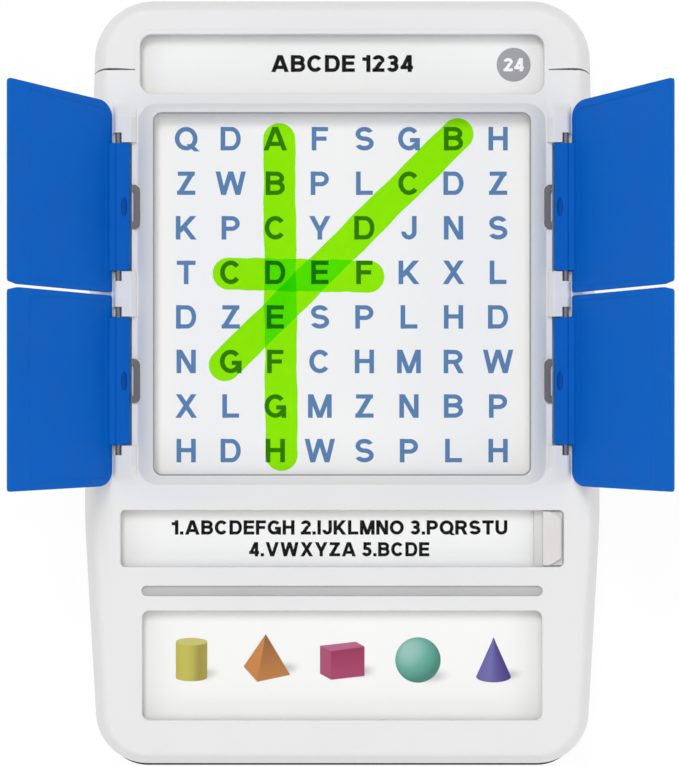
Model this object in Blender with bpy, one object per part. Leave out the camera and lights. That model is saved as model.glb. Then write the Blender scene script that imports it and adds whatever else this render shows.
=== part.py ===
"""Word search game: a flat case with a card drawer and four flip doors over its letter window.

Metres, +Z up. The game lies on its feet at Z = 0, its title end towards +Y, doors open.
"""

import math

import bmesh
import bpy
from mathutils import Vector

# Windows, stacked down the card from its title end
TITLE_TOP_MARGIN = 0.0020
TITLE_HEIGHT = 0.0203
TITLE_TO_PUZZLE = 0.0070
PUZZLE_WIDTH = 0.1282
PUZZLE_HEIGHT = 0.1232
PUZZLE_TO_WORDS = 0.0124
WORDS_HEIGHT = 0.0193
WORDS_TO_GROOVE = 0.0065
GROOVE_WIDTH = 0.0035
GROOVE_TO_PICTURE = 0.0051
PICTURE_HEIGHT = 0.0374
PICTURE_BOTTOM_MARGIN = 0.0033
PUZZLE_SIDE_MARGIN = 0.0136
TITLE_SIDE_MARGIN = 0.0086
WORDS_SIDE_MARGIN = 0.0019
GROOVE_SIDE_MARGIN = 0.0091
GROOVE_DEPTH = 0.0014
PICTURE_SIDE_MARGIN = 0.0093
TITLE_RADIUS = 0.0041
PUZZLE_RADIUS = 0.0026
WORDS_RADIUS = 0.0015
PICTURE_RADIUS = 0.0024

# Cards
CARD_THICKNESS = 0.0004
CARD_CORNER = 0.0070
CARD_GAP = 0.0001
PACK_HEIGHT = 0.0140
CARD_SIDE_GAP = 0.0003

# Drawer
TRAY_WALL = 0.0016
TRAY_FLOOR = 0.0016
TRAY_RIM_DROP = 0.0003
RUNNER_HEIGHT = 0.0035
RUNNER_WIDTH = 0.0030
RUNNER_SPACING = 0.1000
TONGUE_RIM = 0.0016
SEAM_ABOVE_TITLE_EDGE = 0.0080
SEAM_GAP = 0.0004

# Case shells
WALL = 0.0022
SIDE_ROOM_TOP = 0.0065
SIDE_ROOM_BELLY = 0.0099
SIDE_ROOM_BOTTOM = 0.0061
END_ROOM_TOP = 0.0115
END_ROOM_BOTTOM = 0.0135
TOP_CORNER_RADIUS = 0.0208
BOTTOM_CORNER_RADIUS = 0.0181
BELLY_RADIUS = 0.2300
BELLY_BELOW_FRAME = 0.0070
EDGE_WIDTH = 0.0062
EDGE_DEPTH = 0.0140
UNDER_EDGE_WIDTH = 0.0040
EDGE_POWER = 2.2
EDGE_SHARES = (0.0, 0.18, 0.36, 0.52, 0.68, 0.84, 1.0)
CARD_HEADROOM = 0.0026

# Frame round the puzzle window
BEZEL_SIDE = 0.0058
BEZEL_END = 0.0036
BEZEL_RISE = 0.0014
BEZEL_CREST = 0.0006
BEZEL_RADIUS = 0.0068

# Panes
PANE_THICKNESS = 0.0008
PANE_LAP = 0.0016
PUZZLE_PANE_THICKNESS = 0.0013
PUZZLE_LIP = 0.0016

# Hinges
HINGE_TO_FRAME = 0.0066
HINGE_RISE = 0.0002
PIN_RADIUS = 0.0010
PIN_CLEARANCE = 0.00008
KNUCKLE_WALL = 0.00057
RAIL_INNER = 0.0052
RAIL_SLOPE = 0.0008
RAIL_OVERHANG = 0.0013
RAIL_RAMP = 0.0035
RAMP_END_SHARE = 0.12
STUB_LENGTH = 0.0036
PIN_END_GAP = 0.0006
TAIL_MIDDLE_MARGIN = 0.0075
TAIL_OUTER_MARGIN = 0.0132
TAIL_REACH = 0.0041
TAIL_THICKNESS = 0.0023
TAIL_END_ROUND = 0.0006
DIMPLE_LENGTH = 0.0068
DIMPLE_WIDTH = 0.0021
DIMPLE_DEPTH = 0.0004

# Doors
DOOR_THICKNESS = 0.0020
DOOR_STANDOFF = 0.0019
DOOR_GAP = 0.0010
DOOR_FRAME_INSET = 0.0005
DOOR_CORNER_RADIUS = 0.0050
DOOR_SMALL_RADIUS = 0.0010
DOOR_EDGE_ROUND = 0.0005
DOOR_REST_GAP = 0.0003
DOOR_BORDER_FREE = 0.0130
DOOR_BORDER_SIDE = 0.0024
DOOR_BORDER_HINGE = 0.0060
DOOR_PANEL_DEPTH = 0.0005
TAPER_LENGTH = 0.0060
TAPER_DEPTH = 0.0007
GUSSET_REACH = 0.0030
DOOR_OPEN_DEGREES = 109.0

# Detent springs
SPRING_LENGTH = 0.0147
SPRING_BAR = 0.0021
SPRING_THICKNESS = 0.0010
SPRING_LEG_THICKNESS = 0.0008
SPRING_REACH = 0.0027
SPRING_LEG_DROP = 0.0034
SPRING_CORNER = 0.0016
SWING_CLEARANCE = 0.0004

# Drawer lock
LOCK_TRAVEL = 0.0026
LOCK_PLATE_WIDTH = 0.0062
LOCK_END_GAP = 0.0008
LOCK_CHAMFER_X = 0.0040
LOCK_CHAMFER_Y = 0.0025
LOCK_PLATE_DROP = 0.0008
LOCK_BASE_LAP = 0.0022
LOCK_CARD_GAP = 0.0005
BOLT_WIDTH = 0.0070
BOLT_THICKNESS = 0.0024
BOLT_DROP = 0.0035
BOLT_STEP = 0.0001

# Feet and screws
FOOT_STAND = 0.0010
FOOT_RADIUS = 0.0055
FOOT_SEAT = 0.0008
FOOT_SIDE_INSET = 0.0120
FOOT_END_INSET = 0.0240
SCREW_HEAD_RADIUS = 0.0026
SCREW_HEAD_HEIGHT = 0.0011
SCREW_RADIUS = 0.0012
SCREW_SPACING = 0.0550
BOSS_RADIUS = 0.0026
BOSS_SETBACK = 0.0082
PILOT_DEPTH = 0.0110
CAP_SCREW_SPACING = 0.1000
CAP_SCREW_SETBACK = 0.0075

# Clearances shared by all pieces
GAP = 0.0003
SEAT_GAP = 0.0002
OVERRUN = 0.0020
EMBED = 0.0005
LEAST_FLAT = 0.0002
ROUND_STEPS = 20

# Places and sizes worked out from the above
CARD_WIDTH = PUZZLE_WIDTH + 2 * PUZZLE_SIDE_MARGIN
CARD_LENGTH = (
    TITLE_TOP_MARGIN + TITLE_HEIGHT + TITLE_TO_PUZZLE + PUZZLE_HEIGHT + PUZZLE_TO_WORDS
    + WORDS_HEIGHT + WORDS_TO_GROOVE + GROOVE_WIDTH + GROOVE_TO_PICTURE
    + PICTURE_HEIGHT + PICTURE_BOTTOM_MARGIN
)
CASE_LENGTH = END_ROOM_BOTTOM + CARD_LENGTH + END_ROOM_TOP
CASE_TOP = CASE_LENGTH / 2
CASE_BOTTOM = -CASE_LENGTH / 2
CARD_TOP = CASE_TOP - END_ROOM_TOP
CARD_BOTTOM = CARD_TOP - CARD_LENGTH
TITLE_TOP = CARD_TOP - TITLE_TOP_MARGIN
TITLE_BOTTOM = TITLE_TOP - TITLE_HEIGHT
PUZZLE_TOP = TITLE_BOTTOM - TITLE_TO_PUZZLE
PUZZLE_BOTTOM = PUZZLE_TOP - PUZZLE_HEIGHT
WORDS_TOP = PUZZLE_BOTTOM - PUZZLE_TO_WORDS
WORDS_BOTTOM = WORDS_TOP - WORDS_HEIGHT
GROOVE_TOP = WORDS_BOTTOM - WORDS_TO_GROOVE
GROOVE_BOTTOM = GROOVE_TOP - GROOVE_WIDTH
PICTURE_TOP = GROOVE_BOTTOM - GROOVE_TO_PICTURE
PICTURE_BOTTOM = PICTURE_TOP - PICTURE_HEIGHT
SEAM_Y = TITLE_BOTTOM + SEAM_ABOVE_TITLE_EDGE
TONGUE_END = TITLE_TOP + TONGUE_RIM

CARD_HALF = CARD_WIDTH / 2
PUZZLE_HALF = PUZZLE_WIDTH / 2
TITLE_HALF = CARD_HALF - TITLE_SIDE_MARGIN
WORDS_HALF = CARD_HALF - WORDS_SIDE_MARGIN
GROOVE_HALF = CARD_HALF - GROOVE_SIDE_MARGIN
PICTURE_HALF = CARD_HALF - PICTURE_SIDE_MARGIN
TONGUE_HALF = TITLE_HALF + TONGUE_RIM
TRAY_HALF = CARD_HALF + CARD_SIDE_GAP + TRAY_WALL
FRAME_HALF = PUZZLE_HALF + BEZEL_SIDE
FRAME_TOP = PUZZLE_TOP + BEZEL_END
FRAME_BOTTOM = PUZZLE_BOTTOM - BEZEL_END
HINGE_X = FRAME_HALF + HINGE_TO_FRAME

UNDERSIDE = FOOT_STAND
FLOOR_TOP = UNDERSIDE + WALL
RUNNER_TOP = FLOOR_TOP + RUNNER_HEIGHT
TRAY_BOTTOM = RUNNER_TOP + GAP
TRAY_FLOOR_TOP = TRAY_BOTTOM + TRAY_FLOOR
PACK_BOTTOM = TRAY_FLOOR_TOP + CARD_GAP
PACK_TOP = PACK_BOTTOM + PACK_HEIGHT
CARD_LOW = PACK_TOP + CARD_GAP
CARD_HIGH = CARD_LOW + CARD_THICKNESS
TRAY_RIM = CARD_HIGH - TRAY_RIM_DROP
CEILING = CARD_HIGH + CARD_HEADROOM
FACE = CEILING + WALL
PARTING = FACE - EDGE_DEPTH
CREST = FACE + BEZEL_RISE
HINGE_Z = FACE + HINGE_RISE

KNUCKLE_RADIUS = PIN_RADIUS + PIN_CLEARANCE + KNUCKLE_WALL
MIDDLE_Y = (FRAME_TOP + FRAME_BOTTOM) / 2
DOOR_HEIGHT = (FRAME_TOP - FRAME_BOTTOM - DOOR_GAP) / 2 - DOOR_FRAME_INSET
DOOR_REACH = HINGE_X - DOOR_GAP / 2
TAIL_LENGTH = DOOR_HEIGHT - TAIL_MIDDLE_MARGIN - TAIL_OUTER_MARGIN
TAIL_START = DOOR_GAP / 2 + TAIL_MIDDLE_MARGIN
TAIL_END = TAIL_START + TAIL_LENGTH
TAIL_CENTRE = (TAIL_START + TAIL_END) / 2
POCKET_START = TAIL_START - STUB_LENGTH
POCKET_END = TAIL_END + STUB_LENGTH
PIN_SEAT = POCKET_START - PIN_END_GAP
TAIL_SWING = math.hypot(TAIL_REACH, TAIL_THICKNESS / 2)
POCKET_INNER = TAIL_SWING + SWING_CLEARANCE
DOOR_LEAN = math.radians(DOOR_OPEN_DEGREES - 90)
POCKET_OUTER = TAIL_SWING * math.sin(DOOR_LEAN) + TAIL_THICKNESS / 2 + GAP
REST_LEVEL = DOOR_REST_GAP - HINGE_RISE


def material(name, colour, roughness, metallic=0.0, alpha=1.0):
    """Principled material of one plain colour."""
    made = bpy.data.materials.new(name)
    made.use_nodes = True
    shader = made.node_tree.nodes["Principled BSDF"]
    shader.inputs["Base Color"].default_value = (*colour, 1.0)
    shader.inputs["Roughness"].default_value = roughness
    shader.inputs["Metallic"].default_value = metallic
    shader.inputs["Alpha"].default_value = alpha
    made.diffuse_color = (*colour, alpha)
    return made


# Outlines: closed lists of (x, y), anticlockwise seen from above


def arc(centre, radius, start, end, steps):
    """Points on an arc, angles in radians."""
    points = []
    for step in range(steps + 1):
        angle = start + (end - start) * step / steps
        points.append((centre[0] + radius * math.cos(angle), centre[1] + radius * math.sin(angle)))
    return points


def rounded_box(left, right, low, high, radius, steps=4):
    """Rectangle with four round corners."""
    radius = min(radius, (right - left - LEAST_FLAT) / 2, (high - low - LEAST_FLAT) / 2)
    corners = (
        ((right - radius, low + radius), -90),
        ((right - radius, high - radius), 0),
        ((left + radius, high - radius), 90),
        ((left + radius, low + radius), 180),
    )
    points = []
    for centre, start in corners:
        points += arc(centre, radius, math.radians(start), math.radians(start + 90), steps)
    return points


def box(left, right, low, high):
    """Plain rectangle."""
    return [(left, low), (right, low), (right, high), (left, high)]


def tangent_angle(first, second):
    """Direction of the outward normal of the line that touches two circles."""
    dx = second[0] - first[0]
    dy = second[1] - first[1]
    distance = math.hypot(dx, dy)
    return math.atan2(dy, dx) - math.acos((first[2] - second[2]) / distance)


def case_outline(inset=0.0):
    """Case seen from above: six circles joined by their common tangents, moved in by inset."""
    top_half = TRAY_HALF + SIDE_ROOM_TOP
    belly_half = TRAY_HALF + SIDE_ROOM_BELLY
    bottom_half = TRAY_HALF + SIDE_ROOM_BOTTOM
    belly_y = FRAME_BOTTOM - BELLY_BELOW_FRAME
    right = (
        (bottom_half - BOTTOM_CORNER_RADIUS, CASE_BOTTOM + BOTTOM_CORNER_RADIUS, BOTTOM_CORNER_RADIUS, 7),
        (belly_half - BELLY_RADIUS, belly_y, BELLY_RADIUS, 3),
        (top_half - TOP_CORNER_RADIUS, CASE_TOP - TOP_CORNER_RADIUS, TOP_CORNER_RADIUS, 7),
    )
    left = tuple((-x, y, radius, steps) for x, y, radius, steps in reversed(right))
    circles = right + left
    count = len(circles)
    points = []
    for index, circle in enumerate(circles):
        start = tangent_angle(circles[index - 1], circle)
        end = tangent_angle(circle, circles[(index + 1) % count])
        while end < start:
            end += 2 * math.pi
        points += arc(circle[:2], circle[2] - inset, start, end, circle[3])
    return points


# Solids


def at_height(outline, height):
    """Outline lifted to a height."""
    return [Vector((x, y, height)) for x, y in outline]


def loft(loops):
    """Closed mesh through loops of equal length, capped at both ends."""
    mesh = bmesh.new()
    rings = [[mesh.verts.new(point) for point in loop] for loop in loops]
    count = len(rings[0])
    for lower, upper in zip(rings, rings[1:]):
        for index in range(count):
            following = (index + 1) % count
            mesh.faces.new((lower[index], lower[following], upper[following], upper[index]))
    mesh.faces.new(list(reversed(rings[0])))
    mesh.faces.new(rings[-1])
    mesh.normal_update()
    bmesh.ops.recalc_face_normals(mesh, faces=mesh.faces)
    return mesh


def prism(outline, low, high):
    """Outline drawn upwards from low to high."""
    return loft([at_height(outline, low), at_height(outline, high)])


def along_y(profile, start, end):
    """Outline in (x, z) drawn along Y."""
    return loft([[Vector((x, y, z)) for x, z in profile] for y in (start, end)])


def disc(x, y, radius, steps=ROUND_STEPS):
    """Circle as an outline."""
    return arc((x, y), radius, 0, 2 * math.pi * (steps - 1) / steps, steps - 1)


def stacked(outline_at, steps):
    """Loft of an outline function over (inset, height) steps."""
    return loft([at_height(outline_at(inset), height) for inset, height in steps])


def joined(meshes):
    """Several closed meshes in one, for use as one cutter."""
    whole = bmesh.new()
    for mesh in meshes:
        piece = bpy.data.meshes.new("piece")
        mesh.to_mesh(piece)
        mesh.free()
        whole.from_mesh(piece)
        bpy.data.meshes.remove(piece)
    return whole


def mirrored(mesh, x=1, y=1, centre_y=0.0):
    """Copy of a mesh, reflected in X or about the line y = centre_y."""
    copy = mesh.copy()
    for vertex in copy.verts:
        vertex.co.x *= x
        vertex.co.y = centre_y + (vertex.co.y - centre_y) * y
    copy.normal_update()
    bmesh.ops.recalc_face_normals(copy, faces=copy.faces)
    return copy


def add(name, mesh, surface=None, parent=None):
    """Object made from a mesh, which is then freed."""
    data = bpy.data.meshes.new(name)
    mesh.to_mesh(data)
    mesh.free()
    data.shade_smooth()
    data.set_sharp_from_angle(angle=math.radians(30))
    made = bpy.data.objects.new(name, data)
    bpy.context.scene.collection.objects.link(made)
    if surface:
        data.materials.append(surface)
    if parent:
        made.parent = parent
    return made


def tool(name, mesh, parent=None):
    """Helper object for a boolean, left out of the model."""
    made = add(name, mesh, parent=parent)
    made.hide_render = True
    made.display_type = "WIRE"
    return made


def combine(target, operation, mesh):
    """Boolean modifier with its helper object."""
    name = f"{target.name}_{operation.lower()}_{len(target.modifiers)}"
    modifier = target.modifiers.new(name, "BOOLEAN")
    modifier.operation = operation
    modifier.solver = "EXACT"
    modifier.object = tool(name, mesh, target.parent)


def cut(target, mesh):
    combine(target, "DIFFERENCE", mesh)


def fuse(target, mesh):
    combine(target, "UNION", mesh)


# Case shells


def edge_steps(width, level, depth, wall, direction):
    """(inset, height) from the parting line to the flat, along the soft edge of a shell.

    With a wall, the steps follow the inside of the shell and end at the same parting line.
    """
    steps = []
    for share in reversed(EDGE_SHARES):
        drop = wall + (depth - wall) * share ** EDGE_POWER
        steps.append((width * (1 - share) + wall, level + direction * drop))
    return steps


def top_steps(wall):
    return edge_steps(EDGE_WIDTH, FACE, EDGE_DEPTH, wall, -1)


def under_steps(wall, top):
    return edge_steps(UNDER_EDGE_WIDTH, UNDERSIDE, top - UNDERSIDE, wall, 1)


def beyond_seam(gap):
    """Everything on the cap's side of the seam, round the tongue that holds the title window."""
    far_x = CASE_LENGTH
    far_y = CASE_TOP + CASE_LENGTH
    line = SEAM_Y + gap
    tongue = rounded_box(-TONGUE_HALF - gap, TONGUE_HALF + gap, line - TITLE_HEIGHT, TONGUE_END + gap,
                         TITLE_RADIUS + TONGUE_RIM + gap)
    upper = [point for point in tongue if point[1] > line]
    outline = [(-far_x, line), (-TONGUE_HALF - gap, line)]
    outline += list(reversed(upper))
    outline += [(TONGUE_HALF + gap, line), (far_x, line), (far_x, far_y), (-far_x, far_y)]
    return outline


def bezel_mesh():
    """Raised frame that slopes up to the edge of the puzzle window."""
    crest_side = BEZEL_SIDE - BEZEL_CREST
    crest_end = BEZEL_END - BEZEL_CREST

    def outline(side, end, radius):
        return rounded_box(-FRAME_HALF + side, FRAME_HALF - side, FRAME_BOTTOM + end, FRAME_TOP - end, radius)

    return loft([
        at_height(outline(0, 0, BEZEL_RADIUS), FACE - EMBED),
        at_height(outline(0, 0, BEZEL_RADIUS), FACE),
        at_height(outline(crest_side, crest_end, PUZZLE_RADIUS + BEZEL_CREST), CREST),
    ])


def rail_mesh():
    """Left hinge rail, with a round outer edge about the hinge axis and a ramp at each end."""
    outer = arc((-HINGE_X, HINGE_Z), KNUCKLE_RADIUS, math.radians(180), math.radians(90), 5)
    inner_x = -HINGE_X + RAIL_INNER
    top = HINGE_Z + KNUCKLE_RADIUS
    profile = [(-HINGE_X - KNUCKLE_RADIUS, FACE - EMBED)] + outer
    profile += [(inner_x, top), (inner_x + RAIL_SLOPE, top - RAIL_SLOPE), (inner_x + RAIL_SLOPE, FACE - EMBED)]
    ramp = [(x, z if z < FACE else FACE + (z - FACE) * RAMP_END_SHARE) for x, z in profile]
    start = FRAME_BOTTOM
    end = FRAME_TOP + RAIL_OVERHANG
    sections = ((ramp, start), (profile, start + RAIL_RAMP), (profile, end - RAIL_RAMP), (ramp, end))
    return loft([[Vector((x, y, z)) for x, z in outline] for outline, y in sections])


def pocket_meshes():
    """Cuts for the upper left door: tail pocket, pin seat, stub notches and spring recess."""
    axis_x = -HINGE_X
    tail_low = MIDDLE_Y + TAIL_START - GAP
    tail_high = MIDDLE_Y + TAIL_END + GAP
    stub_low = MIDDLE_Y + POCKET_START
    stub_high = MIDDLE_Y + POCKET_END
    above = CREST + OVERRUN
    inner_x = axis_x + POCKET_INNER
    meshes = [prism(box(axis_x - POCKET_OUTER, inner_x, tail_low, tail_high), CEILING - OVERRUN, above)]
    notch_low = HINGE_Z - PIN_RADIUS - GAP
    notch_inner = axis_x + PIN_RADIUS + GAP
    notch_outer = axis_x - KNUCKLE_RADIUS - GAP
    meshes.append(prism(box(notch_outer, notch_inner, stub_low, stub_high), notch_low, above))
    return meshes


def pin_seat_mesh():
    """Bore for the upper left pin."""
    bore = disc(-HINGE_X, HINGE_Z, PIN_RADIUS + PIN_CLEARANCE, 16)
    low = MIDDLE_Y + POCKET_START - PIN_SEAT - GAP
    high = MIDDLE_Y + POCKET_END + PIN_SEAT + GAP
    return along_y(bore, low, high)


def spring_recess_meshes():
    """Level seat for the upper left spring, and the two slots that its legs go down."""
    inner_x = -HINGE_X + POCKET_INNER
    centre = MIDDLE_Y + TAIL_CENTRE
    half = SPRING_LENGTH / 2 + GAP
    seat_end = -HINGE_X + POCKET_INNER + SPRING_REACH + 2 * GAP
    meshes = [prism(box(inner_x - EMBED, seat_end, centre - half, centre + half), FACE, CREST + OVERRUN)]
    leg_end = inner_x + SPRING_LEG_THICKNESS + 2 * GAP
    for side in (-1, 1):
        leg_y = centre + side * (SPRING_LENGTH - SPRING_BAR) / 2
        leg_half = SPRING_BAR / 2 + GAP
        slot = box(inner_x - EMBED, leg_end, leg_y - leg_half, leg_y + leg_half)
        meshes.append(prism(slot, CEILING - OVERRUN, FACE + EMBED))
    return meshes


def four_ways(mesh):
    """The mesh at all four doors, from the one at the upper left."""
    copies = [mirrored(mesh, x, y, MIDDLE_Y) for x in (1, -1) for y in (1, -1)]
    mesh.free()
    return copies


def window(half, low, high, radius, grow=0.0):
    """Outline of a window, grown all round."""
    return rounded_box(-half - grow, half + grow, low - grow, high + grow, radius + grow)


def screw_places():
    y = CASE_BOTTOM + BOSS_SETBACK
    return [(x, y) for x in (-SCREW_SPACING, 0.0, SCREW_SPACING)]


def make_top_shell(surface):
    outer = top_steps(0.0)
    inner = top_steps(WALL)
    loops = [at_height(case_outline(inset), height) for inset, height in reversed(inner)]
    loops += [at_height(case_outline(inset), height) for inset, height in outer]
    shell = add("top_shell", loft(loops), surface)
    fuse(shell, bezel_mesh())
    rail = rail_mesh()
    fuse(shell, joined([mirrored(rail), mirrored(rail, -1)]))
    rail.free()
    bosses = [prism(disc(x, y, BOSS_RADIUS), PARTING + GAP, CEILING + EMBED) for x, y in screw_places()]
    fuse(shell, joined(bosses))
    cut(shell, prism(beyond_seam(0.0), UNDERSIDE, CREST + OVERRUN))
    above = CREST + OVERRUN
    below = CEILING - OVERRUN
    openings = [
        prism(window(TITLE_HALF, TITLE_BOTTOM, TITLE_TOP, TITLE_RADIUS), below, above),
        prism(window(PUZZLE_HALF, PUZZLE_BOTTOM, PUZZLE_TOP, PUZZLE_RADIUS), below, above),
        prism(window(WORDS_HALF, WORDS_BOTTOM, WORDS_TOP, WORDS_RADIUS), below, above),
        prism(window(PICTURE_HALF, PICTURE_BOTTOM, PICTURE_TOP, PICTURE_RADIUS), below, above),
        prism(rounded_box(-GROOVE_HALF, GROOVE_HALF, GROOVE_BOTTOM, GROOVE_TOP, GROOVE_WIDTH), FACE - GROOVE_DEPTH,
              above),
    ]
    cut(shell, joined(openings))
    rebate = window(PUZZLE_HALF, PUZZLE_BOTTOM, PUZZLE_TOP, PUZZLE_RADIUS, PANE_LAP + SEAT_GAP)
    cut(shell, prism(rebate, below, CREST - PUZZLE_LIP))
    for mesh in pocket_meshes():
        cut(shell, joined(four_ways(mesh)))
    cut(shell, joined(four_ways(pin_seat_mesh())))
    for mesh in spring_recess_meshes():
        cut(shell, joined(four_ways(mesh)))
    pilots = []
    for x, y in screw_places():
        pilots.append(prism(disc(x, y, SCREW_RADIUS + SEAT_GAP, 12), PARTING - OVERRUN, PARTING + PILOT_DEPTH))
    cut(shell, joined(pilots))
    return shell


def foot_places():
    x = TRAY_HALF - FOOT_SIDE_INSET
    return {
        "foot_upper_left": (-x, SEAM_Y - FOOT_END_INSET),
        "foot_upper_right": (x, SEAM_Y - FOOT_END_INSET),
        "foot_lower_left": (-x, CASE_BOTTOM + FOOT_END_INSET),
        "foot_lower_right": (x, CASE_BOTTOM + FOOT_END_INSET),
    }


def make_bottom_shell(surface):
    top = PARTING - SEAT_GAP
    loops = [at_height(case_outline(inset), height) for inset, height in reversed(under_steps(WALL, top))]
    loops += [at_height(case_outline(inset), height) for inset, height in under_steps(0.0, top)]
    shell = add("bottom_shell", loft(loops), surface)
    runners = []
    for side in (-1, 1):
        centre = side * RUNNER_SPACING / 2
        strip = box(centre - RUNNER_WIDTH / 2, centre + RUNNER_WIDTH / 2, CARD_BOTTOM, SEAM_Y + OVERRUN)
        runners.append(prism(strip, FLOOR_TOP - EMBED, RUNNER_TOP))
    fuse(shell, joined(runners))
    bosses = [prism(disc(x, y, BOSS_RADIUS), FLOOR_TOP - EMBED, top) for x, y in screw_places()]
    fuse(shell, joined(bosses))
    far = CASE_LENGTH
    cut(shell, prism(box(-far, far, SEAM_Y, far), UNDERSIDE - OVERRUN, PARTING + OVERRUN))
    seats = [prism(disc(x, y, FOOT_RADIUS + SEAT_GAP), UNDERSIDE - OVERRUN, UNDERSIDE + FOOT_SEAT)
             for x, y in foot_places().values()]
    cut(shell, joined(seats))
    holes = [prism(disc(x, y, SCREW_RADIUS + GAP, 12), UNDERSIDE - OVERRUN, PARTING + OVERRUN)
             for x, y in screw_places()]
    cut(shell, joined(holes))
    sinks = [prism(disc(x, y, SCREW_HEAD_RADIUS + SEAT_GAP), UNDERSIDE - OVERRUN,
                   UNDERSIDE + SCREW_HEAD_HEIGHT + SEAT_GAP) for x, y in screw_places()]
    cut(shell, joined(sinks))
    return shell


# Drawer


def cap_screw_places():
    y = CARD_TOP - CAP_SCREW_SETBACK
    return [(-CAP_SCREW_SPACING / 2, y), (CAP_SCREW_SPACING / 2, y)]


def make_drawer_cap(surface):
    outer = list(reversed(under_steps(0.0, PARTING))) + top_steps(0.0)[1:]
    inner = list(reversed(under_steps(WALL, PARTING))) + top_steps(WALL)[1:]
    cap = add("drawer_cap", stacked(case_outline, outer), surface)
    cut(cap, stacked(case_outline, inner))
    far = CASE_LENGTH
    cut(cap, prism(box(-far, far, -far, SEAM_Y + SEAM_GAP), UNDERSIDE - OVERRUN, FACE + OVERRUN))
    notch_half = TONGUE_HALF + SEAM_GAP
    notch = rounded_box(-notch_half, notch_half, TITLE_BOTTOM, TONGUE_END + SEAM_GAP,
                        TITLE_RADIUS + TONGUE_RIM + SEAM_GAP)
    cut(cap, prism(notch, CEILING - OVERRUN, FACE + OVERRUN))
    holes = [prism(disc(x, y, SCREW_RADIUS + GAP, 12), UNDERSIDE - OVERRUN, FLOOR_TOP + OVERRUN)
             for x, y in cap_screw_places()]
    cut(cap, joined(holes))
    sinks = [prism(disc(x, y, SCREW_HEAD_RADIUS + SEAT_GAP), UNDERSIDE - OVERRUN,
                   UNDERSIDE + SCREW_HEAD_HEIGHT + SEAT_GAP) for x, y in cap_screw_places()]
    cut(cap, joined(sinks))
    return cap


def tray_outline(grow):
    """Card outline grown all round."""
    return rounded_box(-CARD_HALF - grow, CARD_HALF + grow, CARD_BOTTOM - grow, CARD_TOP + grow, CARD_CORNER + grow)


def make_drawer_tray(surface):
    inside = tray_outline(CARD_SIDE_GAP)
    outside = tray_outline(CARD_SIDE_GAP + TRAY_WALL)
    tray = add("drawer_tray", loft([
        at_height(inside, TRAY_FLOOR_TOP),
        at_height(inside, TRAY_RIM),
        at_height(outside, TRAY_RIM),
        at_height(outside, TRAY_BOTTOM),
    ]), surface)
    bosses = [prism(disc(x, y, BOSS_RADIUS), FLOOR_TOP + GAP, TRAY_BOTTOM + EMBED) for x, y in cap_screw_places()]
    fuse(tray, joined(bosses))
    holes = [prism(disc(x, y, SCREW_RADIUS + SEAT_GAP, 12), FLOOR_TOP - OVERRUN, TRAY_FLOOR_TOP - EMBED)
             for x, y in cap_screw_places()]
    cut(tray, joined(holes))
    bolt_y = (WORDS_TOP + WORDS_BOTTOM) / 2
    bolt_half = BOLT_WIDTH / 2 + GAP
    notch = box(CARD_HALF, TRAY_HALF + OVERRUN, bolt_y - bolt_half, bolt_y + bolt_half)
    cut(tray, prism(notch, lock_base_low() - BOLT_DROP - GAP, TRAY_RIM + OVERRUN))
    return tray


def make_cards(parent, pack_surface, card_surface):
    outline = tray_outline(0.0)
    add("card_pack", prism(outline, PACK_BOTTOM, PACK_TOP), pack_surface, parent)
    add("puzzle_card", prism(outline, CARD_LOW, CARD_HIGH), card_surface, parent)


# Panes


def make_panes(surface):
    top = CEILING - SEAT_GAP
    low = top - PANE_THICKNESS
    title = window(TITLE_HALF, TITLE_BOTTOM, TITLE_TOP, TITLE_RADIUS, TONGUE_RIM - SEAT_GAP)
    add("title_pane", prism(title, low, top), surface)
    picture = window(PICTURE_HALF, PICTURE_BOTTOM, PICTURE_TOP, PICTURE_RADIUS, PANE_LAP)
    add("picture_pane", prism(picture, low, top), surface)
    words_end = lock_plate_left() - LOCK_TRAVEL - GAP
    words = rounded_box(-WORDS_HALF - PANE_LAP, words_end, WORDS_BOTTOM - PANE_LAP, WORDS_TOP + PANE_LAP,
                        WORDS_RADIUS)
    add("word_pane", prism(words, low, top), surface)
    puzzle = window(PUZZLE_HALF, PUZZLE_BOTTOM, PUZZLE_TOP, PUZZLE_RADIUS, PANE_LAP)
    puzzle_top = CREST - PUZZLE_LIP - SEAT_GAP
    add("puzzle_pane", prism(puzzle, puzzle_top - PUZZLE_PANE_THICKNESS, puzzle_top), surface)


# Drawer lock


def lock_plate_left():
    return WORDS_HALF - LOCK_END_GAP - LOCK_PLATE_WIDTH


def lock_base_low():
    return CARD_HIGH + LOCK_CARD_GAP


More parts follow.
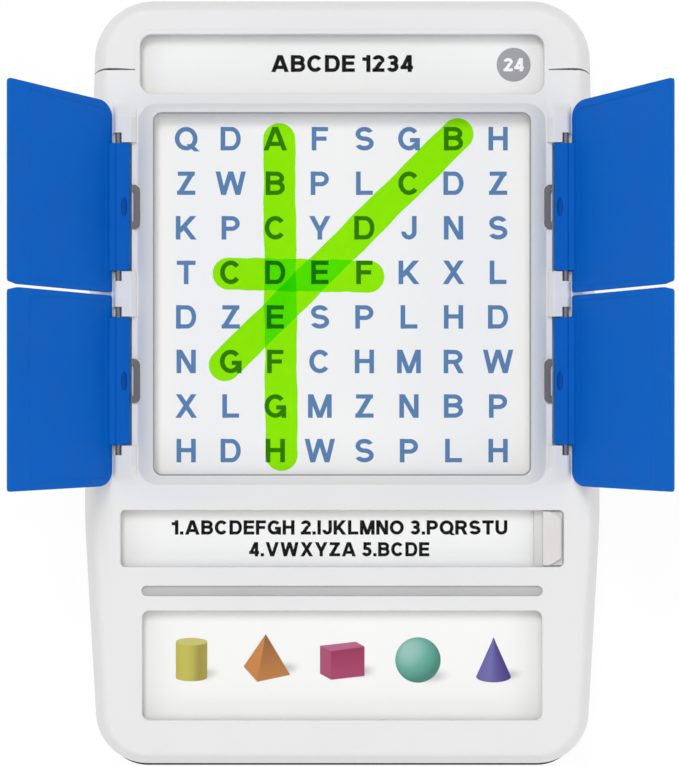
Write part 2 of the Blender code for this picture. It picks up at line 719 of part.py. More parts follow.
def make_drawer_lock(surface, parent):
    low = lock_base_low()
    high = CEILING - SEAT_GAP - PANE_THICKNESS - GAP
    left = lock_plate_left()
    right = left + LOCK_PLATE_WIDTH
    plate_low = WORDS_BOTTOM + LOCK_END_GAP / 2
    plate_high = WORDS_TOP - LOCK_END_GAP / 2
    base = box(left - LOCK_TRAVEL - GAP, right + LOCK_BASE_LAP, WORDS_BOTTOM - LOCK_BASE_LAP,
               WORDS_TOP + LOCK_BASE_LAP)
    lock = add("drawer_lock", prism(base, low, high), surface, parent)
    plate = [
        (left, plate_low),
        (right - LOCK_CHAMFER_X, plate_low),
        (right, plate_low + LOCK_CHAMFER_Y),
        (right, plate_high - LOCK_CHAMFER_Y),
        (right - LOCK_CHAMFER_X, plate_high),
        (left, plate_high),
    ]
    fuse(lock, prism(plate, (low + high) / 2, FACE - LOCK_PLATE_DROP))
    middle = (WORDS_TOP + WORDS_BOTTOM) / 2
    bolt_left = CARD_HALF + GAP + LOCK_TRAVEL
    bolt_right = bolt_left + BOLT_THICKNESS
    arm = box(right, bolt_right, middle - BOLT_WIDTH / 2, middle + BOLT_WIDTH / 2)
    fuse(lock, prism(arm, low + BOLT_STEP, high - BOLT_STEP))
    bolt_half = BOLT_WIDTH / 2 - BOLT_STEP
    bolt = box(bolt_left, bolt_right - BOLT_STEP, middle - bolt_half, middle + bolt_half)
    fuse(lock, prism(bolt, low - BOLT_DROP, (low + high) / 2))
    return lock


# Doors, drawn closed, for the upper left place: x from the hinge axis inwards, y up from the
# middle line, z up from the axis


def door_outline(hinge_edge, inset):
    """Panel outline with its hinge edge at a given distance from the axis."""
    left = hinge_edge
    right = DOOR_REACH - inset
    low = DOOR_GAP / 2 + inset
    high = DOOR_GAP / 2 + DOOR_HEIGHT - inset
    small = DOOR_SMALL_RADIUS
    big = DOOR_CORNER_RADIUS
    points = arc((left + small, low + small), small, math.radians(180), math.radians(270), 2)
    points.append((right - TAPER_LENGTH, low))
    points.append((right, low + TAPER_DEPTH))
    points += arc((right - small, high - small), small, 0, math.radians(90), 2)
    points += arc((left + big, high - big), big, math.radians(90), math.radians(180), 6)
    return points


def hinge_edge_at(height):
    """Distance from the axis of the slanted hinge edge, which lies level when the door is open."""
    return (REST_LEVEL + height * math.sin(DOOR_LEAN)) / math.cos(DOOR_LEAN)


def door_panel_mesh():
    low = DOOR_STANDOFF
    high = DOOR_STANDOFF + DOOR_THICKNESS
    shoulder = high - DOOR_EDGE_ROUND
    return loft([
        at_height(door_outline(hinge_edge_at(low), 0.0), low),
        at_height(door_outline(hinge_edge_at(shoulder), 0.0), shoulder),
        at_height(door_outline(hinge_edge_at(high), DOOR_EDGE_ROUND), high),
    ])


def knuckle_mesh():
    """Barrel, gusset and tail in one section along the hinge."""
    angle = math.radians(-DOOR_OPEN_DEGREES)
    out = Vector((math.cos(angle), math.sin(angle)))
    side = Vector((-out.y, out.x))
    half = TAIL_THICKNESS / 2
    tip = TAIL_REACH - TAIL_END_ROUND
    embed = DOOR_STANDOFF + DOOR_THICKNESS / 2
    profile = [(GUSSET_REACH, embed), (GUSSET_REACH, DOOR_STANDOFF - GAP)]
    profile += arc((0, 0), KNUCKLE_RADIUS, math.radians(15), math.radians(0), 2)
    for reach, across in ((KNUCKLE_RADIUS, half), (tip, half), (TAIL_REACH, half - TAIL_END_ROUND),
                          (TAIL_REACH, TAIL_END_ROUND - half), (tip, -half), (KNUCKLE_RADIUS, -half)):
        profile.append(tuple(out * reach + side * across))
    profile += arc((0, 0), KNUCKLE_RADIUS, math.radians(198), math.radians(90), 7)
    profile.append((hinge_edge_at(embed), embed))
    return along_y(profile, TAIL_START, TAIL_END)


def door_recess_mesh():
    """Shallow panel in the inner face, inside a border."""
    recess = rounded_box(
        DOOR_BORDER_HINGE,
        DOOR_REACH - DOOR_BORDER_FREE,
        DOOR_GAP / 2 + DOOR_BORDER_SIDE,
        DOOR_GAP / 2 + DOOR_HEIGHT - DOOR_BORDER_SIDE,
        DOOR_SMALL_RADIUS,
    )
    return prism(recess, DOOR_STANDOFF - OVERRUN, DOOR_STANDOFF + DOOR_PANEL_DEPTH)


def dimple_mesh():
    """Oval hollow in the upper side of the tail, where the detent spring sits against it."""
    angle = math.radians(-DOOR_OPEN_DEGREES)
    out = Vector((math.cos(angle), 0, math.sin(angle)))
    up = Vector((-out.z, 0, out.x))
    centre = out * TAIL_REACH / 2 + Vector((0, TAIL_CENTRE, 0))
    loops = []
    for level in (TAIL_THICKNESS / 2 - DIMPLE_DEPTH, TAIL_THICKNESS / 2 + OVERRUN):
        loop = []
        for x, y in disc(0, 0, 1, 16):
            loop.append(centre + out * x * DIMPLE_WIDTH / 2 + Vector((0, y * DIMPLE_LENGTH / 2, 0)) + up * level)
        loops.append(loop)
    return loft(loops)


def door_name(x, y):
    return ("upper_" if y > 0 else "lower_") + ("left" if x > 0 else "right")


def make_door(x, y, surface):
    """Door on an empty that lies on its hinge axis and is turned to the open position."""
    hinge = bpy.data.objects.new(f"hinge_{door_name(x, y)}", None)
    hinge.location = (-x * HINGE_X, MIDDLE_Y, HINGE_Z)
    hinge.rotation_euler = (0, -x * math.radians(DOOR_OPEN_DEGREES), 0)
    bpy.context.scene.collection.objects.link(hinge)

    def placed(mesh):
        copy = mirrored(mesh, x, y)
        mesh.free()
        return copy

    door = add(f"door_{door_name(x, y)}", placed(door_panel_mesh()), surface, hinge)
    cut(door, placed(door_recess_mesh()))
    fuse(door, placed(knuckle_mesh()))
    bore = along_y(disc(0, 0, PIN_RADIUS + PIN_CLEARANCE, 16), TAIL_START - OVERRUN, TAIL_END + OVERRUN)
    cut(door, placed(bore))
    cut(door, placed(dimple_mesh()))
    return door


def make_pin(x, y, surface):
    low = POCKET_START - PIN_SEAT
    high = POCKET_END + PIN_SEAT
    rod = along_y(disc(0, 0, PIN_RADIUS, 16), y * low, y * high)
    pin = add(f"hinge_pin_{door_name(x, y)}", rod, surface)
    pin.location = (-x * HINGE_X, MIDDLE_Y, HINGE_Z)
    return pin


def make_spring(x, y, surface):
    """Flat U of spring steel on the rail, its two legs turned down beside the door's tail."""
    inner = POCKET_INNER + GAP
    outer = POCKET_INNER + SPRING_REACH
    half = SPRING_LENGTH / 2
    corner = SPRING_CORNER
    bar = outer - SPRING_BAR
    outside = arc((outer - corner, -half + corner), corner, math.radians(-90), 0, 4)
    outside += arc((outer - corner, half - corner), corner, 0, math.radians(90), 4)
    inside_half = half - SPRING_BAR
    outline = [(inner, -half)] + outside + [(inner, half), (inner, inside_half), (bar, inside_half)]
    outline += [(bar, -inside_half), (inner, -inside_half)]
    low = GAP - HINGE_RISE
    centre = Vector((0, TAIL_CENTRE, 0))
    level = prism(outline, low, low + SPRING_THICKNESS)
    legs = []
    for side in (-1, 1):
        leg_y = side * (SPRING_LENGTH - SPRING_BAR) / 2
        leg = box(inner, inner + SPRING_LEG_THICKNESS, leg_y - SPRING_BAR / 2, leg_y + SPRING_BAR / 2)
        legs.append(prism(leg, low - SPRING_LEG_DROP, low + SPRING_THICKNESS / 2))
    bmesh.ops.translate(level, verts=level.verts, vec=centre)
    both = joined(legs)
    bmesh.ops.translate(both, verts=both.verts, vec=centre)
    spring = add(f"door_spring_{door_name(x, y)}", mirrored(level, x, y), surface)
    level.free()
    fuse(spring, mirrored(both, x, y))
    both.free()
    place = Vector((-x * HINGE_X, MIDDLE_Y, HINGE_Z))
    spring.location = place
    spring.modifiers[0].object.location = place
    return spring


# Feet and screws


def make_feet(surface):
    for name, (x, y) in foot_places().items():
        pad = add(name, prism(disc(0, 0, FOOT_RADIUS), 0, UNDERSIDE + FOOT_SEAT - SEAT_GAP), surface)
        pad.location = (x, y, 0)


def make_screw(name, x, y, tip, surface, parent=None):
    """Pan head screw that points up from the underside."""
    neck = SCREW_HEAD_HEIGHT
    length = tip - UNDERSIDE
    loops = [
        at_height(disc(0, 0, SCREW_HEAD_RADIUS), 0),
        at_height(disc(0, 0, SCREW_HEAD_RADIUS), neck),
        at_height(disc(0, 0, SCREW_RADIUS), neck),
        at_height(disc(0, 0, SCREW_RADIUS), length - SCREW_RADIUS),
        at_height(disc(0, 0, SCREW_RADIUS / 2), length),
    ]
    screw = add(name, loft(loops), surface, parent)
    screw.location = (x, y, UNDERSIDE)
    return screw


def main():
    for old in list(bpy.data.objects):
        bpy.data.objects.remove(old)

    white = material("white_plastic", (0.80, 0.80, 0.82), 0.38)
    tray_white = material("tray_plastic", (0.74, 0.74, 0.76), 0.45)
    blue = material("blue_plastic", (0.006, 0.117, 0.491), 0.35)
    steel = material("steel", (0.32, 0.32, 0.34), 0.35, 1.0)
    clear = material("clear_plastic", (0.95, 0.96, 0.97), 0.05, 0.0, 0.25)
    paper = material("card_print", (0.86, 0.86, 0.86), 0.6)
    board = material("card_board", (0.78, 0.77, 0.74), 0.8)
    grey = material("grey_plastic", (0.62, 0.62, 0.62), 0.45)
    rubber = material("rubber", (0.05, 0.05, 0.05), 0.9)

    make_bottom_shell(white)
    make_top_shell(white)
    make_panes(clear)

    drawer = bpy.data.objects.new("drawer_slide", None)
    drawer.location = (0, 0, 0)
    bpy.context.scene.collection.objects.link(drawer)
    make_drawer_cap(white).parent = drawer
    make_drawer_tray(tray_white).parent = drawer
    make_cards(drawer, board, paper)
    for (x, y), side in zip(cap_screw_places(), ("left", "right")):
        make_screw(f"cap_screw_{side}", x, y, TRAY_FLOOR_TOP - EMBED - SEAT_GAP, steel, drawer)

    lock = bpy.data.objects.new("lock_slide", None)
    bpy.context.scene.collection.objects.link(lock)
    make_drawer_lock(grey, lock)

    for x in (1, -1):
        for y in (1, -1):
            make_door(x, y, blue)
            make_pin(x, y, steel)
            make_spring(x, y, steel)

    make_feet(rubber)
    for (x, y), side in zip(screw_places(), ("left", "middle", "right")):
        make_screw(f"shell_screw_{side}", x, y, PARTING + PILOT_DEPTH - GAP, steel)


main()
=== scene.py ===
"""Looks of the word search game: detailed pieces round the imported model, studio light and the camera."""

from math import acos, atan2, cos, hypot, pi, radians, sin, sqrt

import bmesh
import bpy
from mathutils import Matrix, Vector


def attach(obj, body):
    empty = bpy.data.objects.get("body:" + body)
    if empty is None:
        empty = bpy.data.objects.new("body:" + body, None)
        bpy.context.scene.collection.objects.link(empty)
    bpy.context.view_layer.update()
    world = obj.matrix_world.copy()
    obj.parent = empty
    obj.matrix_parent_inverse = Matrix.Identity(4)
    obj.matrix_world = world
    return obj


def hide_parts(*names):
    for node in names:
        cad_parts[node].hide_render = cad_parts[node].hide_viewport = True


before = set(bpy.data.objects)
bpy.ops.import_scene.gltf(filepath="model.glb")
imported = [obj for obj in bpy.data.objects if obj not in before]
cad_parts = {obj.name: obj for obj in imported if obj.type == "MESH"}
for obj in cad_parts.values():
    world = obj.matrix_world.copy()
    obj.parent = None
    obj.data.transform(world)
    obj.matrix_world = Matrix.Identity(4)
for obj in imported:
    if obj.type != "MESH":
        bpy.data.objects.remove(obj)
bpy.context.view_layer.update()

# Sizes of the model, in metres, as the CAD source states them

# Cards
CARD_HALF = 0.0777
CARD_TOP = 0.1210
CARD_BOTTOM = -0.1190
CARD_CORNER = 0.0070
CARD_PANEL_HALF = 0.0668
CARD_PANEL_TOP = 0.0952
CARD_PANEL_BOTTOM = -0.0360
CARD_LOW = 0.0228
CARD_HIGH = 0.0232
PACK_BOTTOM = 0.0087
PACK_TOP = 0.0227
CARD_COUNT = 35
CARD_FILL = 0.86
CARD_INSET = 0.00015
CARD_STRAY = 0.00012

# Windows and groove: half width, lower end, upper end, corner radius
TITLE = (0.0691, 0.0987, 0.1190, 0.0041)
PUZZLE = (0.0641, -0.0315, 0.0917, 0.0026)
WORDS = (0.0758, -0.0632, -0.0439, 0.0015)
GROOVE = (0.0686, -0.0732, -0.0697, 0.0018)
PICTURE = (0.0684, -0.1157, -0.0783, 0.0024)
TITLE_HALF, TITLE_BOTTOM, TITLE_TOP, TITLE_RADIUS = TITLE
PUZZLE_HALF, PUZZLE_BOTTOM, PUZZLE_TOP, PUZZLE_RADIUS = PUZZLE
WORDS_HALF, WORDS_BOTTOM, WORDS_TOP, WORDS_RADIUS = WORDS
WORDS_MIDDLE = (WORDS_TOP + WORDS_BOTTOM) / 2
WINDOW_FILLET = 0.0005
FILLET_STEPS = 5
GROOVE_DEPTH = 0.0014
GROOVE_FILLET = 0.0002
STRIP_GAP = 0.00004
STRIP_LIFT = 0.00001
STRIP_TOP = 0.0002

# Raised frame round the puzzle window
FRAME_HALF = 0.0699
FRAME_TOP = 0.0953
FRAME_BOTTOM = -0.0351
BEZEL_SIDE = 0.0058
BEZEL_END = 0.0036
BEZEL_CREST = 0.0006
BEZEL_RISE = 0.0014
BEZEL_RADIUS = 0.0068
BEZEL_STEPS = 12
BEZEL_POWER = 0.9

# Seam of the cap and tongue with the title window
SEAM_Y = 0.1067
SEAM_GAP = 0.0004
SEAM_FLARE = 0.00035
SEAM_FLARE_RUN = 0.0085
SEAM_WIDEST = 0.0785
TONGUE_RIM = 0.0016
TONGUE_GAP = 0.00002
SEAM_ROUND = 0.00045
SEAM_STEPS = 16

# Case
CASE_TOP = 0.1325
CASE_BOTTOM = -0.1325
TRAY_HALF = 0.0796
TOP_HALF = TRAY_HALF + 0.0065
BELLY_HALF = TRAY_HALF + 0.0099
BOTTOM_HALF = TRAY_HALF + 0.0061
TOP_CORNER_RADIUS = 0.0208
BOTTOM_CORNER_RADIUS = 0.0181
BELLY_RADIUS = 0.2300
BELLY_Y = FRAME_BOTTOM - 0.0070
EDGE_WIDTH = 0.0062
UNDER_EDGE_WIDTH = 0.0040
EDGE_POWER = 2.2
WALL = 0.0022
UNDERSIDE = 0.0010
FLOOR_TOP = UNDERSIDE + WALL
RUNNER_TOP = FLOOR_TOP + 0.0035
RUNNER_WIDTH = 0.0030
RUNNER_X = 0.0500
FACE = 0.0280
CEILING = FACE - WALL
PARTING = 0.0140
CREST = FACE + BEZEL_RISE
INNER_STEPS = 6
SHELL_ROUND = 0.00018

# Tray
TRAY_BOTTOM = 0.0070
TRAY_FLOOR_TOP = 0.0086
TRAY_RIM = 0.0229
CARD_SIDE_GAP = 0.0003
TRAY_WALL = 0.0016
TRAY_ROUND = 0.0002

# Hinges and rails
HINGE_X = 0.0765
MIDDLE_Y = 0.0301
HINGE_RISE = 0.0002
HINGE_Z = FACE + HINGE_RISE
PIN_RADIUS = 0.0010
PIN_CLEARANCE = 0.00008
KNUCKLE_RADIUS = 0.00165
RAIL_INNER = 0.0052
RAIL_SLOPE = 0.0008
RAIL_OVERHANG = 0.0013
RAIL_RAMP = 0.0062
RAIL_SHOULDER = 0.0028
RAIL_TOE = 0.0004
RAMP_END_SHARE = 0.03
RAIL_STEPS = 8
RAIL_TURN = 10
STUB_LENGTH = 0.0036
PIN_END_GAP = 0.0006
PIN_CHAMFER = 0.0002

# Doors and tails
DOOR_GAP = 0.0010
DOOR_HEIGHT = 0.0642
DOOR_REACH = HINGE_X - DOOR_GAP / 2
DOOR_THICKNESS = 0.0020
DOOR_STANDOFF = 0.0019
DOOR_CORNER_RADIUS = 0.0050
DOOR_CORNER_LENGTH = 0.0100
DOOR_HINGE_RISE = 0.0009
DOOR_SMALL_RADIUS = 0.0010
DOOR_REST_GAP = 0.0003
DOOR_BORDER_FREE = 0.0130
DOOR_BORDER_SIDE = 0.0024
DOOR_BORDER_HINGE = 0.0060
DOOR_PANEL_DEPTH = 0.0003
TAPER_LENGTH = 0.0060
DOOR_UNDER_ROUND = 0.0002
DOOR_OVER_ROUND = 0.0005
DOOR_FREE_ROUND = 0.0017
TAPER_DEPTH = 0.0007
GUSSET_REACH = 0.0030
DOOR_OPEN = radians(109.0)
DOOR_LEAN = DOOR_OPEN - radians(90)
TAIL_START = DOOR_GAP / 2 + 0.0075
TAIL_END = DOOR_GAP / 2 + DOOR_HEIGHT - 0.0132
TAIL_CENTRE = (TAIL_START + TAIL_END) / 2
TAIL_REACH = 0.0041
TAIL_THICKNESS = 0.0023
TAIL_END_ROUND = 0.0006
TAIL_CORNER = 0.0011
DIMPLE_LENGTH = 0.0068
DIMPLE_WIDTH = 0.0021
DIMPLE_DEPTH = 0.0004
POCKET_START = TAIL_START - STUB_LENGTH
POCKET_END = TAIL_END + STUB_LENGTH
TAIL_SWING = hypot(TAIL_REACH, TAIL_THICKNESS / 2)
POCKET_INNER = TAIL_SWING + 0.0004
POCKET_OUTER = TAIL_SWING * sin(DOOR_LEAN) + TAIL_THICKNESS / 2 + 0.0003
DOOR_STEPS = 16
RECESS_SLOPE = 0.0012
RECESS_SIDE_GROW = 0.0008
KNUCKLE_ROUND = 0.0004
POCKET_CORNER = 0.0004
TAIL_OUT = Vector((cos(DOOR_OPEN), 0, -sin(DOOR_OPEN)))
TAIL_UP = Vector((-TAIL_OUT.z, 0, TAIL_OUT.x))

# Springs
SPRING_LENGTH = 0.0147
SPRING_BAR = 0.0021
SPRING_THICKNESS = 0.0010
SPRING_LEG_THICKNESS = 0.0008
SPRING_REACH = 0.0027
SPRING_LEG_DROP = 0.0034
SPRING_CORNER = 0.0016
SPRING_INNER_CORNER = 0.0005
SPRING_SEAT_CORNER = 0.0009
SPRING_UNDER_ROUND = 0.0002
SPRING_OVER_ROUND = 0.0003

# Panes
PANE_THICKNESS = 0.0008
PANE_LAP = 0.0016
PUZZLE_PANE_THICKNESS = 0.0013
PUZZLE_LIP = 0.0016
PANE_ROUND = 0.0001

# Lock
LOCK_TRAVEL = 0.0026
LOCK_WIDTH = 0.0062
LOCK_END_GAP = 0.0008
LOCK_LEFT = WORDS_HALF - LOCK_END_GAP - LOCK_WIDTH
LOCK_RIGHT = LOCK_LEFT + LOCK_WIDTH
LOCK_LOW = CARD_HIGH + 0.0005
LOCK_LAP = 0.0022
LOCK_ROUND = 0.0002
LOCK_PLATE_GAP = 0.0004
LOCK_PLATE_DEPTH = 0.0008
LOCK_SLOPE_LENGTH = 0.0040
LOCK_SLOPE_WIDTH = 0.0025
LOCK_SHELF_DEPTH = 0.0020
LOCK_SHELF_REACH = 0.0006
BOLT_HALF = 0.0035
BOLT_LENGTH = 0.0024
BOLT_DROP = 0.0035
BOLT_NOTCH_HALF = 0.0038

# Screws and feet
SCREW_RADIUS = 0.0012
SCREW_HEAD_RADIUS = 0.0026
SCREW_HEAD_HEIGHT = 0.0011
HEAD_ROUND = 0.0004
BOSS_RADIUS = 0.0026
FOOT_RADIUS = 0.0055
FOOT_SEAT = 0.0008
PILOT_RADIUS = 0.0014
SCREW_GRIP = 0.0110
CROSS_ARM = 0.62
CROSS_WIDTH = 0.16
CROSS_DEPTH = 0.0006
FOOT_UNDER_ROUND = 0.0004
FOOT_OVER_ROUND = 0.0002

# Painted shadow: a dark sheet between the halves of the case, seen as a thin line below the lower end
PAINTED_SHADOW_SHIFT = 0.0036
PAINTED_SHADOW_INSET = 0.0030
PAINTED_SHADOW_DEPTH = 0.0015
PAINTED_SHADOW_CLEARANCE = 0.00002

# Clearances and overlaps
GAP = 0.0003
SEAT_GAP = 0.0002
OVERRUN = 0.0020
EMBED = 0.0005
NEAR = 0.000002
HAIR = 0.00005
TRACE = 0.0001
FAR = 0.3

# Shading: angles of rounded and of sharp edges, and upward parts of normals where tints start or end; the
# tints other than the card panel are painted shade or painted light
SOFT_ANGLE = 38.0
SHARP_ANGLE = radians(32)
BEZEL_NORMAL = 0.97
LIP_NORMAL = 0.995
PANEL_NORMAL = 0.9
DOOR_NORMAL = 0.55
SHELF_NORMAL = 0.5
DIMPLE_NORMAL = 0.2
DIMPLE_MARGIN = 0.00002

# Printing
PRINT_THICKNESS = 0.00002
PRINT_LIFT = 0.00001
LEVEL_ONE = CARD_HIGH + PRINT_LIFT
LEVEL_TWO = LEVEL_ONE + 2 * PRINT_THICKNESS
LEVEL_THREE = LEVEL_TWO + 2 * PRINT_THICKNESS

# Places of screws, feet and doors
SCREW_X = 0.0550
SCREW_Y = CASE_BOTTOM + 0.0082
CAP_SCREW_X = 0.0500
CAP_SCREW_Y = CARD_TOP - 0.0075
FOOT_X = 0.0676
FOOT_UPPER_Y = 0.0827
FOOT_LOWER_Y = -0.1085
SCREW_PLACES = {"left": (-SCREW_X, SCREW_Y), "middle": (0.0, SCREW_Y), "right": (SCREW_X, SCREW_Y)}
CAP_SCREW_PLACES = {"left": (-CAP_SCREW_X, CAP_SCREW_Y), "right": (CAP_SCREW_X, CAP_SCREW_Y)}
FOOT_PLACES = {
    "upper_left": (-FOOT_X, FOOT_UPPER_Y),
    "upper_right": (FOOT_X, FOOT_UPPER_Y),
    "lower_left": (-FOOT_X, FOOT_LOWER_Y),
    "lower_right": (FOOT_X, FOOT_LOWER_Y),
}
PLACES = {"upper_left": (1, 1), "lower_left": (1, -1), "upper_right": (-1, 1), "lower_right": (-1, -1)}

# Camera, straight above the game


SENSOR_WIDTH = 36
LENS = 112.4
LENS_SHIFT = (-0.0224, 0.01175)
CAMERA_PLACE = (0.0050, -0.0034, 0.846)


def make_camera():
    data = bpy.data.cameras.new("camera")
    data.sensor_width = SENSOR_WIDTH
    data.lens = LENS
    data.shift_x, data.shift_y = LENS_SHIFT
    camera = bpy.data.objects.new("camera", data)
    camera.location = CAMERA_PLACE
    bpy.context.scene.collection.objects.link(camera)
    bpy.context.scene.camera = camera


make_camera()


# Materials


def set_inputs(node, values):
    for socket, value in values.items():
        node.inputs[socket].default_value = value


def new_material(name, values):
    """New material, its node tree, and its shader with constant values."""
    made = bpy.data.materials.new(name)
    made.use_nodes = True
    shader = made.node_tree.nodes["Principled BSDF"]
    set_inputs(shader, values)
    return made, made.node_tree, shader


def bare_material(name):
    """New material without a shader, and its node tree."""
    made, tree, shader = new_material(name, {})
    tree.nodes.remove(shader)
    return made, tree


def add_node(tree, kind, values=None, operation=None):
    """New node, with its operation and the constant values of its inputs."""
    node = tree.nodes.new(kind)
    if operation:
        node.operation = operation
    set_inputs(node, values or {})
    return node


def noise_of(tree, scale, detail=3.0):
    place = add_node(tree, "ShaderNodeTexCoord")
    noise = add_node(tree, "ShaderNodeTexNoise", {"Scale": scale, "Detail": detail})
    tree.links.new(place.outputs["Object"], noise.inputs["Vector"])
    return noise.outputs["Fac"]


def shades(colour, variation):
    """The colour a little darker, and a little lighter."""
    return [tuple(min(1.0, part * (1 + side * variation)) for part in colour) for side in (-1, 1)]


def ramp_of(tree, source, start, low, high, target):
    """Ramp between two colours, from start to as far from the end, linked to a target."""
    ramp = add_node(tree, "ShaderNodeValToRGB")
    for index, (position, colour) in enumerate(((start, low), (1 - start, high))):
        ramp.color_ramp.elements[index].position = position
        ramp.color_ramp.elements[index].color = (*colour, 1.0)
    tree.links.new(source, ramp.inputs["Fac"])
    tree.links.new(ramp.outputs["Color"], target)


def mix_to_output(tree, share, first, second, output="Material Output"):
    """Two shaders mixed by a share, as the surface."""
    mix = add_node(tree, "ShaderNodeMixShader")
    for index, source in enumerate((share, first, second)):
        tree.links.new(source, mix.inputs[index])
    tree.links.new(mix.outputs["Shader"], tree.nodes[output].inputs["Surface"])


def plastic(name, colour, roughness, variation=0.03, grain=2600.0, bump=0.06, metallic=0.0, blotch=45.0,
            specular=0.5):
    """Moulded surface: slow colour and gloss variation, and a fine grain."""
    made, tree, shader = new_material(name, {"Specular IOR Level": specular, "Metallic": metallic})
    slow = noise_of(tree, blotch)
    ramp_of(tree, slow, 0.3, *shades(colour, variation), shader.inputs["Base Color"])
    ramp_of(tree, slow, 0.3, *shades((roughness, roughness, roughness), 0.1), shader.inputs["Roughness"])
    relief = add_node(tree, "ShaderNodeBump", {"Strength": bump, "Distance": 0.0001})
    tree.links.new(noise_of(tree, grain, 2.0), relief.inputs["Height"])
    tree.links.new(relief.outputs["Normal"], shader.inputs["Normal"])
    return made


def clear_plastic():
    """Thin clear sheet: lets light through, with a faint tint and a gloss that grows with the slant."""
    made, tree = bare_material("clear_sheet")
    through = add_node(tree, "ShaderNodeBsdfTransparent", {"Color": (0.998, 1.0, 1.0, 1)})
    gloss = add_node(tree, "ShaderNodeBsdfGlossy", {"Roughness": 0.08})
    slant = add_node(tree, "ShaderNodeLayerWeight", {"Blend": 0.5})
    power = add_node(tree, "ShaderNodeMath", {1: 5.0}, "POWER")
    gain = add_node(tree, "ShaderNodeMath", {1: 0.55, 2: 0.006}, "MULTIPLY_ADD")
    tree.links.new(slant.outputs["Facing"], power.inputs[0])
    tree.links.new(power.outputs["Value"], gain.inputs[0])
    mix_to_output(tree, gain.outputs["Value"], through.outputs["BSDF"], gloss.outputs["BSDF"])
    return made


def marker_ink():
    """Translucent ink that multiplies what lies beneath."""
    made, tree = bare_material("marker_ink")
    through = add_node(tree, "ShaderNodeBsdfTransparent")
    ramp_of(tree, noise_of(tree, 160.0), 0.3, *INK_SHADES, through.inputs["Color"])
    tree.links.new(through.outputs["BSDF"], tree.nodes["Material Output"].inputs["Surface"])
    return made


def printed(name, colour=None):
    """Matt printing ink, of one colour or of the mesh's own ink attribute."""
    made, tree, shader = new_material(name, {"Roughness": 0.65, "Specular IOR Level": 0.06})
    if colour:
        ramp_of(tree, noise_of(tree, 900.0), 0.35, *shades(colour, 0.02), shader.inputs["Base Color"])
        return made
    ink = add_node(tree, "ShaderNodeVertexColor")
    ink.layer_name = "ink"
    tree.links.new(ink.outputs["Color"], shader.inputs["Base Color"])
    return made


def seen_at_once(tree):
    """One where a ray comes from the camera, a reflection or a clear body."""
    seen = add_node(tree, "ShaderNodeLightPath")
    total = seen.outputs["Is Camera Ray"]
    for kind in ("Is Glossy Ray", "Is Transmission Ray"):
        larger = add_node(tree, "ShaderNodeMath", operation="MAXIMUM")
        tree.links.new(total, larger.inputs[0])
        tree.links.new(seen.outputs[kind], larger.inputs[1])
        total = larger.outputs["Value"]
    return total


def floor_material():
    """Pale floor that looks white to the camera and still takes a faint shadow."""
    made, tree, shader = new_material("floor", {"Base Color": (0.9, 0.9, 0.9, 1), "Roughness": 0.9})
    glow = add_node(tree, "ShaderNodeEmission", {"Color": (1, 1, 1, 1)})
    share = add_node(tree, "ShaderNodeMath", {1: FLOOR_GLOW_SHARE}, "MULTIPLY")
    tree.links.new(seen_at_once(tree), share.inputs[0])
    mix_to_output(tree, share.outputs["Value"], shader.outputs["BSDF"], glow.outputs["Emission"])
    return made


FLOOR_GLOW_SHARE = 0.93
PAPER_COLOUR = (0.815, 0.810, 0.795)
INK_SHADES = ((0.535, 0.950, 0.060), (0.560, 0.960, 0.066))
SHELL_LOOK = {"variation": 0.008, "specular": 0.35}
PAPER_LOOK = {"variation": 0.004, "grain": 1800.0, "bump": 0.04, "specular": 0.15}
METAL_LOOK = {"grain": 900.0, "bump": 0.03}

WHITE = plastic("white_plastic", (0.700, 0.697, 0.695), 0.45, **SHELL_LOOK)
# Darker, greyer white: painted shade on the slopes of the frame round the puzzle window
FRAME_PAINTED_SHADE = plastic("frame_painted_shade", (0.635, 0.640, 0.635), 0.45, **SHELL_LOOK)
# Dark grey: painted shade as a thin line round the puzzle window's rounded edge
LIP_PAINTED_SHADE = plastic("window_lip_painted_shade", (0.28, 0.28, 0.28), 0.5, **SHELL_LOOK)
# Mid grey: painted shade on the floor of the narrow groove
GROOVE_PAINTED_SHADE = plastic("groove_painted_shade", (0.45, 0.45, 0.45), 0.55, specular=0.35)
TRAY_WHITE = plastic("tray_plastic", (0.72, 0.72, 0.74), 0.50)
BLUE = plastic("blue_plastic", (0.0010, 0.120, 0.530), 0.55, bump=0.04, specular=0.03)
# Darker blue: painted shade on the door faces that look upwards when open
DOOR_PAINTED_SHADE = plastic("door_painted_shade", (0.0015, 0.106, 0.46), 0.50, bump=0.04, specular=0.05)
# Darkest blue: painted shade inside the dimple of each tail
DIMPLE_PAINTED_SHADE = plastic("dimple_painted_shade", (0.0020, 0.072, 0.34), 0.50, bump=0.04, specular=0.05)
STEEL = plastic("screw_steel", (0.50, 0.50, 0.54), 0.28, metallic=1.0, **METAL_LOOK)
PIN_STEEL = plastic("pin_steel", (0.200, 0.190, 0.205), 0.50, metallic=0.4, **METAL_LOOK)
SPRING_GREY = plastic("spring_steel", (0.112, 0.108, 0.122), 0.45, variation=0.06, metallic=0.35)
LOCK_GREY = plastic("lock_plastic", (0.64, 0.62, 0.605), 0.45)
# The lock's base grey is painted shade, and its shelf grey is painted light, on one grey part
LOCK_BASE_PAINTED_SHADE = plastic("lock_base_painted_shade", (0.47, 0.475, 0.45), 0.5)
LOCK_SHELF_PAINTED_LIGHT = plastic("lock_shelf_painted_light", (0.66, 0.66, 0.65), 0.5)
